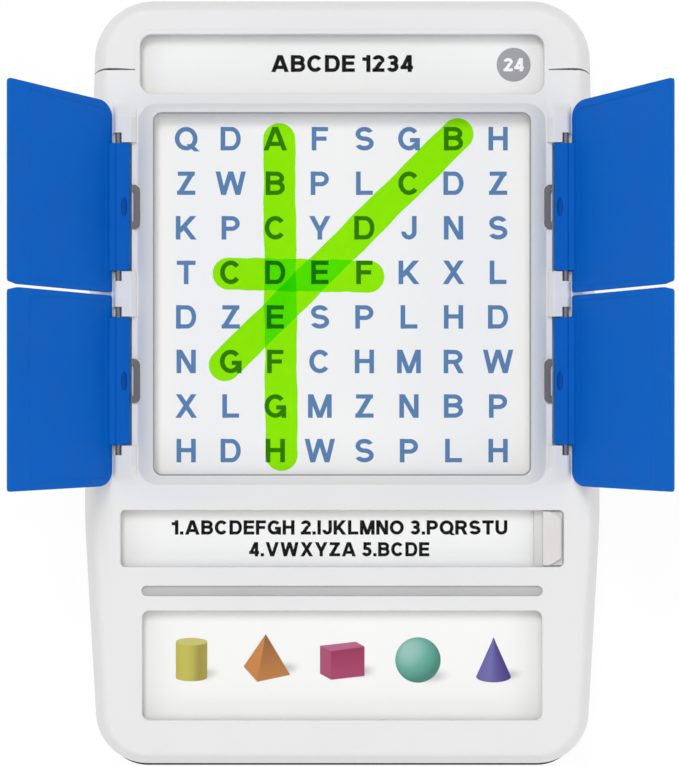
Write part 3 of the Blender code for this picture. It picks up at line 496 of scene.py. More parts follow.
# Dark rubber of the feet; the same colour is also the painted shadow line below the case's lower end
RUBBER_AND_PAINTED_SHADOW = plastic("rubber", (0.035, 0.035, 0.035), 0.85, bump=0.3, grain=1500.0)
PAPER = plastic("card_paper", PAPER_COLOUR, 0.65, **PAPER_LOOK)
PANEL_PAPER = plastic("card_panel_paper", (0.885, 0.876, 0.845), 0.65, **PAPER_LOOK)
BOARD = plastic("card_board", (0.74, 0.73, 0.70), 0.85, variation=0.05, blotch=300.0)
CLEAR = clear_plastic()
INK = marker_ink()
BLACK_PRINT = printed("black_print", (0.001, 0.001, 0.001))
BLUE_PRINT = printed("letter_print", (0.094, 0.210, 0.405))
GREY_PRINT = printed("disc_print", (0.330, 0.326, 0.340))
WHITE_PRINT = printed("white_print", (0.86, 0.86, 0.86))
PICTURE_PRINT = printed("picture_print")


# Outlines: closed lists of (x, y), anticlockwise seen from above


def arc(centre, radius, start, end, steps):
    points = []
    for step in range(steps + 1):
        angle = start + (end - start) * step / steps
        points.append((centre[0] + radius * cos(angle), centre[1] + radius * sin(angle)))
    return points


def rounded_box(left, right, low, high, radius, steps=10):
    radius = min(radius, (right - left) / 2 - HAIR, (high - low) / 2 - HAIR)
    corners = (
        ((right - radius, low + radius), -90),
        ((right - radius, high - radius), 0),
        ((left + radius, high - radius), 90),
        ((left + radius, low + radius), 180),
    )
    points = []
    for centre, start in corners:
        points += arc(centre, radius, radians(start), radians(start + 90), steps)
    return points


def box(left, right, low, high):
    return [(left, low), (right, low), (right, high), (left, high)]


def disc(x, y, radius, steps=32):
    return arc((x, y), radius, 0, 2 * pi * (steps - 1) / steps, steps - 1)


def tangent_angle(first, second):
    dx = second[0] - first[0]
    dy = second[1] - first[1]
    return atan2(dy, dx) - acos((first[2] - second[2]) / hypot(dx, dy))


def case_outline(inset=0.0):
    """Case seen from above: six circles joined by their common tangents, moved in by inset."""
    right = (
        (BOTTOM_HALF - BOTTOM_CORNER_RADIUS, CASE_BOTTOM + BOTTOM_CORNER_RADIUS, BOTTOM_CORNER_RADIUS, 22),
        (BELLY_HALF - BELLY_RADIUS, BELLY_Y, BELLY_RADIUS, 9),
        (TOP_HALF - TOP_CORNER_RADIUS, CASE_TOP - TOP_CORNER_RADIUS, TOP_CORNER_RADIUS, 22),
    )
    left = tuple((-x, y, radius, steps) for x, y, radius, steps in reversed(right))
    circles = right + left
    points = []
    for index, circle in enumerate(circles):
        start = tangent_angle(circles[index - 1], circle)
        end = tangent_angle(circle, circles[(index + 1) % len(circles)])
        while end < start:
            end += 2 * pi
        points += arc(circle[:2], circle[2] - inset, start, end, circle[3])
    return points


# Solids


def at_height(outline, height):
    return [Vector((x, y, height)) for x, y in outline]


def loft(loops):
    """Closed mesh through loops of equal length, capped at both ends."""
    mesh = bmesh.new()
    rings = [[mesh.verts.new(point) for point in loop] for loop in loops]
    count = len(rings[0])
    for lower, upper in zip(rings, rings[1:]):
        for index in range(count):
            following = (index + 1) % count
            mesh.faces.new((lower[index], lower[following], upper[following], upper[index]))
    mesh.faces.new(list(reversed(rings[0])))
    mesh.faces.new(rings[-1])
    mesh.normal_update()
    bmesh.ops.recalc_face_normals(mesh, faces=mesh.faces)
    return mesh


def prism(outline, low, high):
    return loft([at_height(outline, low), at_height(outline, high)])


def stacked(outline_at, steps):
    """Loft of an outline function over (inset, height) steps."""
    return loft([at_height(outline_at(inset), height) for inset, height in steps])


def rounded_steps(radius, level, steps):
    """(inset, height) round a quarter turn up to a level, from the side inwards."""
    angles = [radians(90) * step / steps for step in range(steps + 1)]
    return [(radius * (1 - cos(angle)), level - radius * (1 - sin(angle))) for angle in angles]


def soft_prism(outline_at, low, high, under, over, steps=3):
    """Prism of an outline function, rounded at its lower and upper edges."""
    levels = [(0.0, low)]
    if under:
        levels = [(inset, 2 * low - height) for inset, height in rounded_steps(under, low, steps)[::-1]]
    return stacked(outline_at, levels + rounded_steps(over, high, steps))


def along_y(profile, start, end):
    return loft([[Vector((x, y, z)) for x, z in profile] for y in (start, end)])


def joined(meshes, painted=False):
    """One mesh of several; painted ones keep the colours of their vertices."""
    whole = bmesh.new()
    if painted:
        whole.verts.layers.float_color.new("ink")
    for mesh in meshes:
        piece = bpy.data.meshes.new("piece")
        mesh.to_mesh(piece)
        mesh.free()
        whole.from_mesh(piece)
        bpy.data.meshes.remove(piece)
    return whole


def mirrored(mesh, x=1, y=1, centre_y=0.0):
    """Copy of a mesh, reflected in X or about the line y = centre_y."""
    copy = mesh.copy()
    for vertex in copy.verts:
        vertex.co.x *= x
        vertex.co.y = centre_y + (vertex.co.y - centre_y) * y
    copy.normal_update()
    bmesh.ops.recalc_face_normals(copy, faces=copy.faces)
    return copy


def four_ways(mesh):
    copies = [mirrored(mesh, x, y, MIDDLE_Y) for x in (1, -1) for y in (1, -1)]
    mesh.free()
    return copies


def object_of(name, mesh):
    data = bpy.data.meshes.new(name)
    mesh.to_mesh(data)
    mesh.free()
    made = bpy.data.objects.new(name, data)
    bpy.context.scene.collection.objects.link(made)
    return made


def taken_mesh(made):
    """Mesh of an object that is no longer needed."""
    mesh = bmesh.new()
    mesh.from_mesh(made.data)
    bpy.data.objects.remove(made)
    return mesh


def bake(made):
    """Applies the modifiers of an object and removes their helpers."""
    helpers = [modifier.object for modifier in made.modifiers if modifier.type == "BOOLEAN"]
    bpy.context.view_layer.update()
    evaluated = made.evaluated_get(bpy.context.evaluated_depsgraph_get())
    mesh = bpy.data.meshes.new_from_object(evaluated)
    made.modifiers.clear()
    made.data = mesh
    for helper in helpers:
        bpy.data.objects.remove(helper)
    mesh.name = made.name


def carve(made, operation, mesh):
    modifier = made.modifiers.new(operation.lower(), "BOOLEAN")
    modifier.operation = operation
    modifier.solver = "EXACT"
    modifier.object = object_of(f"{made.name}_helper_{len(made.modifiers)}", mesh)
    modifier.object.hide_render = True
    bake(made)


def cut(made, mesh):
    carve(made, "DIFFERENCE", mesh)


def fuse(made, mesh):
    carve(made, "UNION", mesh)


def soften(made, width, segments=2, angle=SOFT_ANGLE):
    modifier = made.modifiers.new("soften", "BEVEL")
    modifier.width = width
    modifier.segments = segments
    modifier.limit_method = "ANGLE"
    modifier.angle_limit = radians(angle)
    modifier.use_clamp_overlap = True
    bake(made)


def soften_seam(made, place, width):
    """Rounds only the edges that lie on the seam's own plane."""
    mesh = bmesh.new()
    mesh.from_mesh(made.data)
    edges = []
    for edge in mesh.edges:
        level = all(abs(vertex.co.y - place) < NEAR for vertex in edge.verts)
        if level and len(edge.link_faces) == 2 and edge.calc_face_angle(0) > radians(SOFT_ANGLE):
            edges.append(edge)
    bmesh.ops.bevel(mesh, geom=edges, offset=width, segments=3, profile=0.5, affect="EDGES",
                    clamp_overlap=True)
    mesh.to_mesh(made.data)
    mesh.free()


def tint_faces(made, surface, chosen):
    """Gives the chosen faces a further material."""
    made.data.materials.append(surface)
    index = len(made.data.materials) - 1
    for face in made.data.polygons:
        if chosen(face):
            face.material_index = index


def without_shadow(made):
    made.visible_shadow = False
    made.visible_diffuse = False


def dress(made, surface, body, replaces=()):
    """Material, shading, body and the CAD nodes that a piece stands for, which it hides."""
    made.data.materials.clear()
    made.data.materials.append(surface)
    made.data.shade_smooth()
    made.data.set_sharp_from_angle(angle=SHARP_ANGLE)
    made.modifiers.new("level_normals", "WEIGHTED_NORMAL").keep_sharp = True
    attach(made, body)
    if replaces:
        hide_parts(*replaces)
    return made


# Case


def edge_steps(width, level, depth, wall, direction, count):
    """(inset, height) from the parting line to the flat, along the soft edge of a shell."""
    steps = []
    for step in range(count + 1):
        share = 1 - step / count
        drop = wall + (depth - wall) * share ** EDGE_POWER
        steps.append((width * (1 - share) + wall, level + direction * drop))
    return steps


def top_steps(wall, count=22):
    return edge_steps(EDGE_WIDTH, FACE, FACE - PARTING, wall, -1, count)


def under_steps(wall, top, count=10):
    return edge_steps(UNDER_EDGE_WIDTH, UNDERSIDE, top - UNDERSIDE, wall, 1, count)


def window(half, low, high, radius, grow=0.0):
    return rounded_box(-half - grow, half + grow, low - grow, high + grow, radius + grow)


def tongue(grow):
    """Outline of the upper shell's tongue, wider by grow than the title window that it holds."""
    half = TITLE_HALF + grow
    return rounded_box(-half, half, TITLE_BOTTOM, TITLE_TOP + grow, TITLE_RADIUS + grow)


def beyond_seam():
    """Everything on the cap's side of the seam, round the tongue."""
    half = TITLE_HALF + TONGUE_RIM
    upper = [point for point in tongue(TONGUE_RIM) if point[1] > SEAM_Y]
    ends = [(half, SEAM_Y), (FAR, SEAM_Y), (FAR, FAR), (-FAR, FAR)]
    return [(-FAR, SEAM_Y), (-half, SEAM_Y)] + upper[::-1] + ends


def flared(shape, low, top, fillet=WINDOW_FILLET):
    """Cutter for a window whose upper edge is rounded over."""
    levels = [(0.0, low)] + rounded_steps(fillet, top, FILLET_STEPS) + [(fillet, top + OVERRUN)]
    return stacked(lambda grow: window(*shape, grow), levels)


def posts(places, radius, low, high, steps=32):
    """Round posts or holes at places."""
    return joined([prism(disc(x, y, radius, steps), low, high) for x, y in places.values()])


def screw_holes(made, places, top):
    """Cuts the screws' holes up to a height, and seats for their heads."""
    low = UNDERSIDE - OVERRUN
    cut(made, posts(places, SCREW_RADIUS + GAP, low, top))
    cut(made, posts(places, SCREW_HEAD_RADIUS + SEAT_GAP, low, UNDERSIDE + SCREW_HEAD_HEIGHT + SEAT_GAP))


def bezel_mesh():
    """Raised frame round the puzzle window, rounded at its foot and its crest."""
    loops = []
    for step in range(-1, BEZEL_STEPS + 1):
        share = max(step, 0) / BEZEL_STEPS
        half = FRAME_HALF - (BEZEL_SIDE - BEZEL_CREST) * share
        end = (BEZEL_END - BEZEL_CREST) * share
        radius = BEZEL_RADIUS + (PUZZLE_RADIUS + BEZEL_CREST - BEZEL_RADIUS) * share
        rise = BEZEL_RISE * sin(radians(90) * share) ** BEZEL_POWER
        outline = rounded_box(-half, half, FRAME_BOTTOM + end, FRAME_TOP - end, radius)
        loops.append(at_height(outline, FACE - EMBED if step < 0 else FACE + rise))
    return loft(loops)


def rail_mesh():
    """Left hinge rail, with a round outer edge about the hinge axis and a ramp at each end."""
    outer = arc((-HINGE_X, HINGE_Z), KNUCKLE_RADIUS, radians(180), radians(90), 12)
    inner_x = -HINGE_X + RAIL_INNER + RAIL_SLOPE + RAIL_TOE
    top = HINGE_Z + KNUCKLE_RADIUS
    profile = [(-HINGE_X - KNUCKLE_RADIUS, FACE - EMBED)] + outer
    for step in range(RAIL_STEPS + 1):
        angle = radians(90 - RAIL_TURN * step)
        run = RAIL_SHOULDER * cos(angle)
        profile.append((inner_x - RAIL_SHOULDER + run, FACE + (top - FACE) * sin(angle)))
    profile.append((inner_x, FACE - EMBED))
    start = FRAME_BOTTOM
    end = FRAME_TOP + RAIL_OVERHANG
    ramp = []
    for step in range(RAIL_STEPS + 1):
        share = step / RAIL_STEPS
        ramp.append((share, max(RAMP_END_SHARE, share * share * (3 - 2 * share))))
    sections = [(height, start + RAIL_RAMP * share) for share, height in ramp]
    sections += [(height, end - RAIL_RAMP * share) for share, height in reversed(ramp)]
    loops = []
    for height, y in sections:
        loops.append([Vector((x, y, z if z < FACE else FACE + (z - FACE) * height)) for x, z in profile])
    return loft(loops)


def hinge_cutters():
    """Cuts for the upper left door: tail pocket, stub notch, pin bore, spring seat and leg slots."""
    axis = -HINGE_X
    inner = axis + POCKET_INNER
    above = CREST + OVERRUN
    below = CEILING - OVERRUN
    tail_low = MIDDLE_Y + TAIL_START - GAP
    tail_high = MIDDLE_Y + TAIL_END + GAP
    low = MIDDLE_Y + POCKET_START
    high = MIDDLE_Y + POCKET_END
    bore_end = POCKET_START - PIN_END_GAP + GAP
    centre = MIDDLE_Y + TAIL_CENTRE
    half = SPRING_LENGTH / 2 + GAP
    seat_end = inner + SPRING_REACH + 2 * GAP
    pocket = rounded_box(axis - POCKET_OUTER, inner, tail_low, tail_high, POCKET_CORNER, 3)
    shelf = box(inner - EMBED, axis + RAIL_INNER + RAIL_SLOPE + RAIL_TOE, tail_low, tail_high)
    notch = box(axis - KNUCKLE_RADIUS - GAP, axis + PIN_RADIUS + GAP, low, high)
    bore = disc(axis, HINGE_Z, PIN_RADIUS + PIN_CLEARANCE, 24)
    seat = rounded_box(inner - EMBED, seat_end, centre - half, centre + half, SPRING_SEAT_CORNER, 5)
    meshes = [
        prism(pocket, below, above),
        prism(shelf, FACE, above),
        prism(notch, HINGE_Z - PIN_RADIUS - GAP, above),
        along_y(bore, low - bore_end, high + bore_end),
        prism(seat, FACE, above),
    ]
    leg_end = inner + SPRING_LEG_THICKNESS + 2 * GAP
    leg_half = SPRING_BAR / 2 + GAP
    for side in (-1, 1):
        leg_y = centre + side * (SPRING_LENGTH - SPRING_BAR) / 2
        slot = box(inner - EMBED, leg_end, leg_y - leg_half, leg_y + leg_half)
        meshes.append(prism(slot, below, FACE + EMBED))
    return meshes


def make_case_top():
    shell = object_of("case_top", stacked(case_outline, top_steps(WALL, INNER_STEPS)[::-1] + top_steps(0.0)))
    fuse(shell, bezel_mesh())
    rail = rail_mesh()
    fuse(shell, joined([mirrored(rail), mirrored(rail, -1)]))
    rail.free()
    fuse(shell, posts(SCREW_PLACES, BOSS_RADIUS, PARTING + GAP, CEILING + EMBED))
    below = CEILING - OVERRUN
    windows = []
    for shape, top in ((TITLE, FACE), (PUZZLE, CREST), (WORDS, FACE), (PICTURE, FACE)):
        windows.append(flared(shape, below, top))
    windows.append(flared(GROOVE, FACE - GROOVE_DEPTH, FACE, GROOVE_FILLET))
    cut(shell, joined(windows))
    cut(shell, prism(window(*PUZZLE, PANE_LAP + SEAT_GAP), below, CREST - PUZZLE_LIP))
    for mesh in hinge_cutters():
        cut(shell, joined(four_ways(mesh)))
    cut(shell, posts(SCREW_PLACES, PILOT_RADIUS, PARTING - OVERRUN, PARTING + SCREW_GRIP, 16))
    soften(shell, SHELL_ROUND)
    cut(shell, prism(beyond_seam(), UNDERSIDE, CREST + OVERRUN))
    soften_seam(shell, SEAM_Y, SEAM_ROUND)
    dress(shell, WHITE, "case", ["top_shell"])
    # Painted shade: the frame's slopes and the rail's side get the darker white
    tint_faces(shell, FRAME_PAINTED_SHADE, on_bezel)
    # Painted shade: a dark grey line on the puzzle window's rounded edge
    tint_faces(shell, LIP_PAINTED_SHADE, on_window_lip)


def on_bezel(face):
    """True on the slopes of the raised frame and on the rail's side that falls to it, which take a painted
    shade.
    """
    x = abs(face.center.x)
    y = face.center.y
    if face.center.z < FACE + TRACE:
        return False
    inside = max(x - FRAME_HALF + BEZEL_SIDE, y - FRAME_TOP + BEZEL_END, FRAME_BOTTOM + BEZEL_END - y)
    outside = max(x - FRAME_HALF, y - FRAME_TOP, FRAME_BOTTOM - y)
    edge = HINGE_X - RAIL_INNER - RAIL_SLOPE
    shoulder = edge - TRACE < x < edge + RAIL_SHOULDER and face.normal.z < BEZEL_NORMAL
    beside = shoulder and FRAME_BOTTOM + RAIL_RAMP < y < FRAME_TOP - RAIL_RAMP
    return (inside > TRACE and outside < -TRACE) or beside


def on_window_lip(face):
    """True on the rounded inner edge of the puzzle window, which takes a dark grey as a painted line of
    shade.
    """
    middle = (PUZZLE_TOP + PUZZLE_BOTTOM) / 2
    x = abs(face.center.x) - PUZZLE_HALF + PUZZLE_RADIUS
    y = abs(face.center.y - middle) - (PUZZLE_TOP - middle) + PUZZLE_RADIUS
    beyond = hypot(max(x, 0), max(y, 0)) - PUZZLE_RADIUS
    rounded = face.center.z > CREST - WINDOW_FILLET and face.normal.z < LIP_NORMAL
    return rounded and -HAIR < beyond < WINDOW_FILLET


# Grey strip on the groove's floor: painted shade where the groove lies in shadow
def make_groove_strip():
    level = FACE - GROOVE_DEPTH
    strip = soft_prism(lambda inset: window(*GROOVE, -STRIP_GAP - inset), level + STRIP_LIFT,
                       level + STRIP_TOP, 0.0, HAIR, 2)
    dress(object_of("groove_strip", strip), GROOVE_PAINTED_SHADE, "case")


def make_case_bottom():
    top = PARTING - SEAT_GAP
    steps = under_steps(WALL, top, INNER_STEPS)[::-1] + under_steps(0.0, top)
    shell = object_of("case_bottom", stacked(case_outline, steps))
    runners = []
    for centre in (-RUNNER_X, RUNNER_X):
        strip = box(centre - RUNNER_WIDTH / 2, centre + RUNNER_WIDTH / 2, CARD_BOTTOM, SEAM_Y + OVERRUN)
        runners.append(prism(strip, FLOOR_TOP - EMBED, RUNNER_TOP))
    fuse(shell, joined(runners))
    fuse(shell, posts(SCREW_PLACES, BOSS_RADIUS, FLOOR_TOP - EMBED, top))
    cut(shell, prism(box(-FAR, FAR, SEAM_Y, FAR), UNDERSIDE - OVERRUN, PARTING + OVERRUN))
    cut(shell, posts(FOOT_PLACES, FOOT_RADIUS + SEAT_GAP, UNDERSIDE - OVERRUN, UNDERSIDE + FOOT_SEAT))
    screw_holes(shell, SCREW_PLACES, PARTING + OVERRUN)
    soften(shell, SHELL_ROUND)
    dress(shell, WHITE, "case", ["bottom_shell"])


def make_painted_shadow_line():
    """Dark sheet between the halves of the case, a painted shadow seen as a thin dark line below the lower
    end.
    """
    low = PARTING - SEAT_GAP + PAINTED_SHADOW_CLEARANCE
    high = PARTING - PAINTED_SHADOW_CLEARANCE
    shifted = [(x, y - PAINTED_SHADOW_SHIFT) for x, y in case_outline(PAINTED_SHADOW_INSET)]
    shadow_line = object_of("case_painted_shadow_line", prism(shifted, low, high))
    cut(shadow_line, prism(case_outline(PAINTED_SHADOW_DEPTH), low - OVERRUN, high + OVERRUN))
    dress(shadow_line, RUBBER_AND_PAINTED_SHADOW, "case")


def make_cap():
    outer = under_steps(0.0, PARTING)[::-1] + top_steps(0.0)[1:]
    inner = under_steps(WALL, PARTING, INNER_STEPS)[::-1] + top_steps(WALL, INNER_STEPS)[1:]
    cap = object_of("cap", stacked(case_outline, outer))
    cut(cap, stacked(case_outline, inner))
    line = [(FAR, -FAR), (FAR, SEAM_Y + SEAM_GAP)]
    for step in range(SEAM_STEPS + 1):
        share = 2 * step / SEAM_STEPS - 1
        wide = SEAM_FLARE * (1 + cos(pi * share)) / 2
        line.append((SEAM_WIDEST - SEAM_FLARE_RUN * share, SEAM_Y + SEAM_GAP + wide))
    below = line + [(-x, y) for x, y in reversed(line)]
    cut(cap, prism(below, UNDERSIDE - OVERRUN, FACE + OVERRUN))
    soften(cap, SHELL_ROUND)
    cut(cap, prism(tongue(TONGUE_RIM + TONGUE_GAP), CEILING - OVERRUN, FACE + OVERRUN))
    screw_holes(cap, CAP_SCREW_PLACES, FLOOR_TOP + OVERRUN)
    dress(cap, WHITE, "drawer", ["drawer_cap"])


def make_panes():
    top = CEILING - SEAT_GAP

    def sheet(shape, lap):
        return lambda inset: window(*shape, lap - inset)

    def word_sheet(inset):
        lap = PANE_LAP - inset
        right = LOCK_LEFT - LOCK_TRAVEL - GAP - inset
        return rounded_box(-WORDS_HALF - lap, right, WORDS_BOTTOM - lap, WORDS_TOP + lap, WORDS_RADIUS)

    panes = {
        "title": (sheet(TITLE, TONGUE_RIM - SEAT_GAP), top, PANE_THICKNESS),
        "picture": (sheet(PICTURE, PANE_LAP), top, PANE_THICKNESS),
        "word": (word_sheet, top, PANE_THICKNESS),
        "puzzle": (sheet(PUZZLE, PANE_LAP), CREST - PUZZLE_LIP - SEAT_GAP, PUZZLE_PANE_THICKNESS),
    }
    for name, (outline_at, high, thickness) in panes.items():
        mesh = soft_prism(outline_at, high - thickness, high, PANE_ROUND, PANE_ROUND, 1)
        pane = object_of(f"{name}_window", mesh)
        dress(pane, CLEAR, "case", [f"{name}_pane"])
        without_shadow(pane)


# Drawer and cards


def card_outline(grow):
    return window(CARD_HALF, CARD_BOTTOM, CARD_TOP, CARD_CORNER, grow)


def make_tray():
    inside = card_outline(CARD_SIDE_GAP)
    outside = card_outline(CARD_SIDE_GAP + TRAY_WALL)
    levels = ((inside, TRAY_FLOOR_TOP), (inside, TRAY_RIM), (outside, TRAY_RIM), (outside, TRAY_BOTTOM))
    tray = object_of("tray", loft([at_height(outline, height) for outline, height in levels]))
    fuse(tray, posts(CAP_SCREW_PLACES, BOSS_RADIUS, FLOOR_TOP + GAP, TRAY_BOTTOM + EMBED))
    holes = posts(CAP_SCREW_PLACES, SCREW_RADIUS + SEAT_GAP, FLOOR_TOP - OVERRUN, TRAY_FLOOR_TOP - EMBED, 16)
    cut(tray, holes)
    notch = box(CARD_HALF, TRAY_HALF + OVERRUN, WORDS_MIDDLE - BOLT_NOTCH_HALF,
                WORDS_MIDDLE + BOLT_NOTCH_HALF)
    cut(tray, prism(notch, LOCK_LOW - BOLT_DROP - GAP, TRAY_RIM + OVERRUN))
    soften(tray, TRAY_ROUND)
    dress(tray, TRAY_WHITE, "drawer", ["drawer_tray"])


def make_cards():
    pitch = (PACK_TOP - PACK_BOTTOM) / CARD_COUNT
    slabs = []
    for index in range(CARD_COUNT):
        low = PACK_BOTTOM + index * pitch
        stray_x = CARD_STRAY * sin(index * 2.4)
        stray_y = CARD_STRAY * cos(index * 1.7)
        outline = [(x + stray_x, y + stray_y) for x, y in card_outline(-CARD_INSET)]
        slabs.append(prism(outline, low, low + pitch * CARD_FILL))
    dress(object_of("card_stack", joined(slabs)), BOARD, "drawer", ["card_pack"])
    sheet = prism(card_outline(0.0), CARD_LOW, CARD_HIGH)
    for place, normal in (((CARD_PANEL_HALF, 0, 0), (1, 0, 0)), ((-CARD_PANEL_HALF, 0, 0), (1, 0, 0)),
                          ((0, CARD_PANEL_TOP, 0), (0, 1, 0)), ((0, CARD_PANEL_BOTTOM, 0), (0, 1, 0))):
        parts = sheet.verts[:] + sheet.edges[:] + sheet.faces[:]
        bmesh.ops.bisect_plane(sheet, geom=parts, dist=NEAR, plane_co=place, plane_no=normal)
    card = object_of("top_card", sheet)
    dress(card, PAPER, "drawer", ["puzzle_card"])
    tint_faces(card, PANEL_PAPER, on_card_panel)


def on_card_panel(face):
    """True on the lighter panel behind the letters."""
    between = CARD_PANEL_BOTTOM < face.center.y < CARD_PANEL_TOP
    return face.normal.z > PANEL_NORMAL and between and abs(face.center.x) < CARD_PANEL_HALF


# Lettering: a plain block alphabet, drawn from straight and curved strokes in units of the cap height


def bar(x0, y0, x1, y1, wide):
    """Straight stroke, its ends cut level, or upright where it lies flat."""
    if y0 == y1:
        half = wide / 2
        return [(x0, y0 - half), (x1, y0 - half), (x1, y0 + half), (x0, y0 + half)]
    half = wide / 2 * hypot(1, (x1 - x0) / (y1 - y0))
    return [(x0 - half, y0), (x0 + half, y0), (x1 + half, y1), (x1 - half, y1)]


def bow(x, y, radius_x, radius_y, start, end, wide):
    """Curved stroke along part of an ellipse, between two angles in degrees."""
    outer = []
    inner = []
    steps = max(6, round((end - start) / 11))
    for step in range(steps + 1):
        angle = radians(start + (end - start) * step / steps)
        across = cos(angle)
        up = sin(angle)
        outer.append((x + (radius_x + wide / 2) * across, y + (radius_y + wide / 2) * up))
        inner.append((x + (radius_x - wide / 2) * across, y + (radius_y - wide / 2) * up))
    return outer + inner[::-1]


def letter_strokes(letter, s):
    """Width of a letter and its strokes, for a stroke width s."""
    h = s / 2
    top = 1 - h

    def upright(x, low=0.0, high=1.0):
        return bar(x, low, x, high, s)

    def flat(y, left, right):
        return bar(left, y, right, y, s * 0.94)

    def bowl(left, right, low, high):
        """Right half of a round, closed to the left by two level strokes."""
        middle = (low + high) / 2
        turn = left + (right - left) * 0.48
        return [flat(high, left, turn + 0.005), flat(low, left, turn + 0.005),
                bow(turn, middle, right - h - turn, (high - low) / 2, -90, 90, s * 0.97)]

    def ring(wide, low=0.0, high=1.0, inset=0.0):
        middle = (low + high) / 2
        across = wide / 2 - h - inset
        up = (high - low) / 2 - h
        return [bow(wide / 2, middle, across, up, -91, 91, s), bow(wide / 2, middle, across, up, 89, 271, s)]

    turn = (0.5 - h) / 2
    shapes = {
        "A": (0.96, [bar(s * 0.54, 0, 0.48 - s * 0.08, 1, s), bar(0.96 - s * 0.54, 0, 0.48 + s * 0.08, 1, s),
                     flat(0.28, 0.22, 0.74)]),
        "B": (0.78, [upright(h)] + bowl(h, 0.75, 0.53, top) + bowl(h, 0.78, h, 0.53)),
        "C": (0.86, [bow(0.43, 0.5, 0.43 - h, 0.5 - h, 38, 322, s)]),
        "D": (0.82, [upright(h)] + bowl(h, 0.82, h, top)),
        "E": (0.70, [upright(h), flat(top, h, 0.70), flat(0.52, h, 0.66), flat(h, h, 0.70)]),
        "F": (0.66, [upright(h), flat(top, h, 0.66), flat(0.50, h, 0.60)]),
        "G": (0.88, [bow(0.44, 0.5, 0.44 - h, 0.5 - h, 40, 330, s), flat(0.44, 0.48, 0.88),
                     upright(0.88 - h, 0.0, 0.46)]),
        "H": (0.78, [upright(h), upright(0.78 - h), flat(0.52, h, 0.78 - h)]),
        "I": (s, [upright(h)]),
        "J": (0.62, [upright(0.62 - h, 0.31, 1.0), bow(0.31, 0.32, 0.31 - h, 0.32 - h, 175, 361, s)]),
        "K": (0.84, [upright(h), bar(s * 0.6, 0.30, 0.82 - s * 0.6, 1, s),
                     bar(0.84 - s * 0.6, 0, 0.30, 0.58, s)]),
        "L": (0.68, [upright(h), flat(h, h, 0.68)]),
        "M": (0.96, [upright(h), upright(0.96 - h), bar(0.48, 0, h * 1.2, 1, s),
                     bar(0.48, 0, 0.96 - h * 1.2, 1, s)]),
        "N": (0.78, [upright(h), upright(0.78 - h), bar(0.78 - h * 1.15, 0, h * 1.15, 1, s)]),
        "O": (0.92, ring(0.92)),
        "P": (0.74, [upright(h)] + bowl(h, 0.74, 0.46, top)),
        "Q": (0.92, ring(0.92) + [bar(0.90, -0.04, 0.58, 0.27, s * 0.85)]),
        "R": (0.80, [upright(h)] + bowl(h, 0.77, 0.48, top) + [bar(0.80 - s * 0.5, 0, 0.44, 0.50, s)]),
        "S": (0.76, [bow(0.38, 0.5 + turn, 0.36 - h, turn, 22, 271, s),
                     bow(0.38, 0.5 - turn, 0.38 - h, turn, -158, 91, s)]),
        "T": (0.76, [upright(0.38), flat(top, 0.0, 0.76)]),
        "U": (0.78, [upright(h, 0.35, 1.0), upright(0.78 - h, 0.35, 1.0),
                     bow(0.39, 0.36, 0.39 - h, 0.36 - h, 179, 361, s)]),
        "V": (0.90, [bar(0.45 - s * 0.06, 0, s * 0.54, 1, s),
                     bar(0.45 + s * 0.06, 0, 0.90 - s * 0.54, 1, s)]),
        "W": (1.24, [bar(0.33, 0, s * 0.54, 1, s), bar(0.33, 0, 0.62, 1, s), bar(0.91, 0, 0.62, 1, s),
                     bar(0.91, 0, 1.24 - s * 0.54, 1, s)]),
        "X": (0.88, [bar(s * 0.6, 0, 0.86 - s * 0.6, 1, s), bar(0.88 - s * 0.6, 0, s * 0.7, 1, s)]),
        "Y": (0.88, [upright(0.44, 0.0, 0.44), bar(0.44, 0.36, s * 0.6, 1, s),
                     bar(0.44, 0.36, 0.88 - s * 0.6, 1, s)]),
        "Z": (0.74, [flat(top, 0.03, 0.72), flat(h, 0.0, 0.74),
                     bar(s * 0.66, h, 0.72 - s * 0.66, top, s * 1.05)]),
        "1": (0.44, [upright(0.44 - h), flat(0.76, 0.0, 0.44 - h)]),
        "2": (0.66, [bow(0.33, 0.70, 0.33 - h, 0.30 - h, -28, 168, s),
                     bar(s * 0.7, h, 0.62 - s * 0.6, 0.62, s), flat(h, 0.0, 0.66)]),
        "3": (0.66, [bow(0.33, (0.52 + top) / 2, 0.31 - h, (top - 0.52) / 2, -91, 155, s),
                     bow(0.33, (0.52 + h) / 2, 0.33 - h, (0.52 - h) / 2, -158, 91, s),
                     flat(0.52, 0.22, 0.34)]),
        "4": (0.68, [upright(0.50), flat(0.27, 0.0, 0.68), bar(s * 0.6, 0.27, 0.46, 1, s * 0.9)]),
        "5": (0.66, [flat(top, 0.10, 0.62), upright(0.10 + h, 0.46, 1.0),
                     bow(0.32, 0.335, 0.34 - h, 0.335 - h, -160, 125, s)]),
        ".": (s, [upright(h, 0.0, s)]),
    }
    return shapes[letter]


glyph_store = {}
GLYPH_THICKNESS = 0.1


def glyph(letter, s):
    """Letter as one flat body, one unit high, with its width; made once for each stroke width."""
    if (letter, s) not in glyph_store:
        wide, strokes = letter_strokes(letter, s)
        whole = object_of("glyph", prism(strokes[0], 0.0, GLYPH_THICKNESS))
        for outline in strokes[1:]:
            fuse(whole, prism(outline, 0.0, GLYPH_THICKNESS))
        glyph_store[letter, s] = (wide, taken_mesh(whole))
    return glyph_store[letter, s]


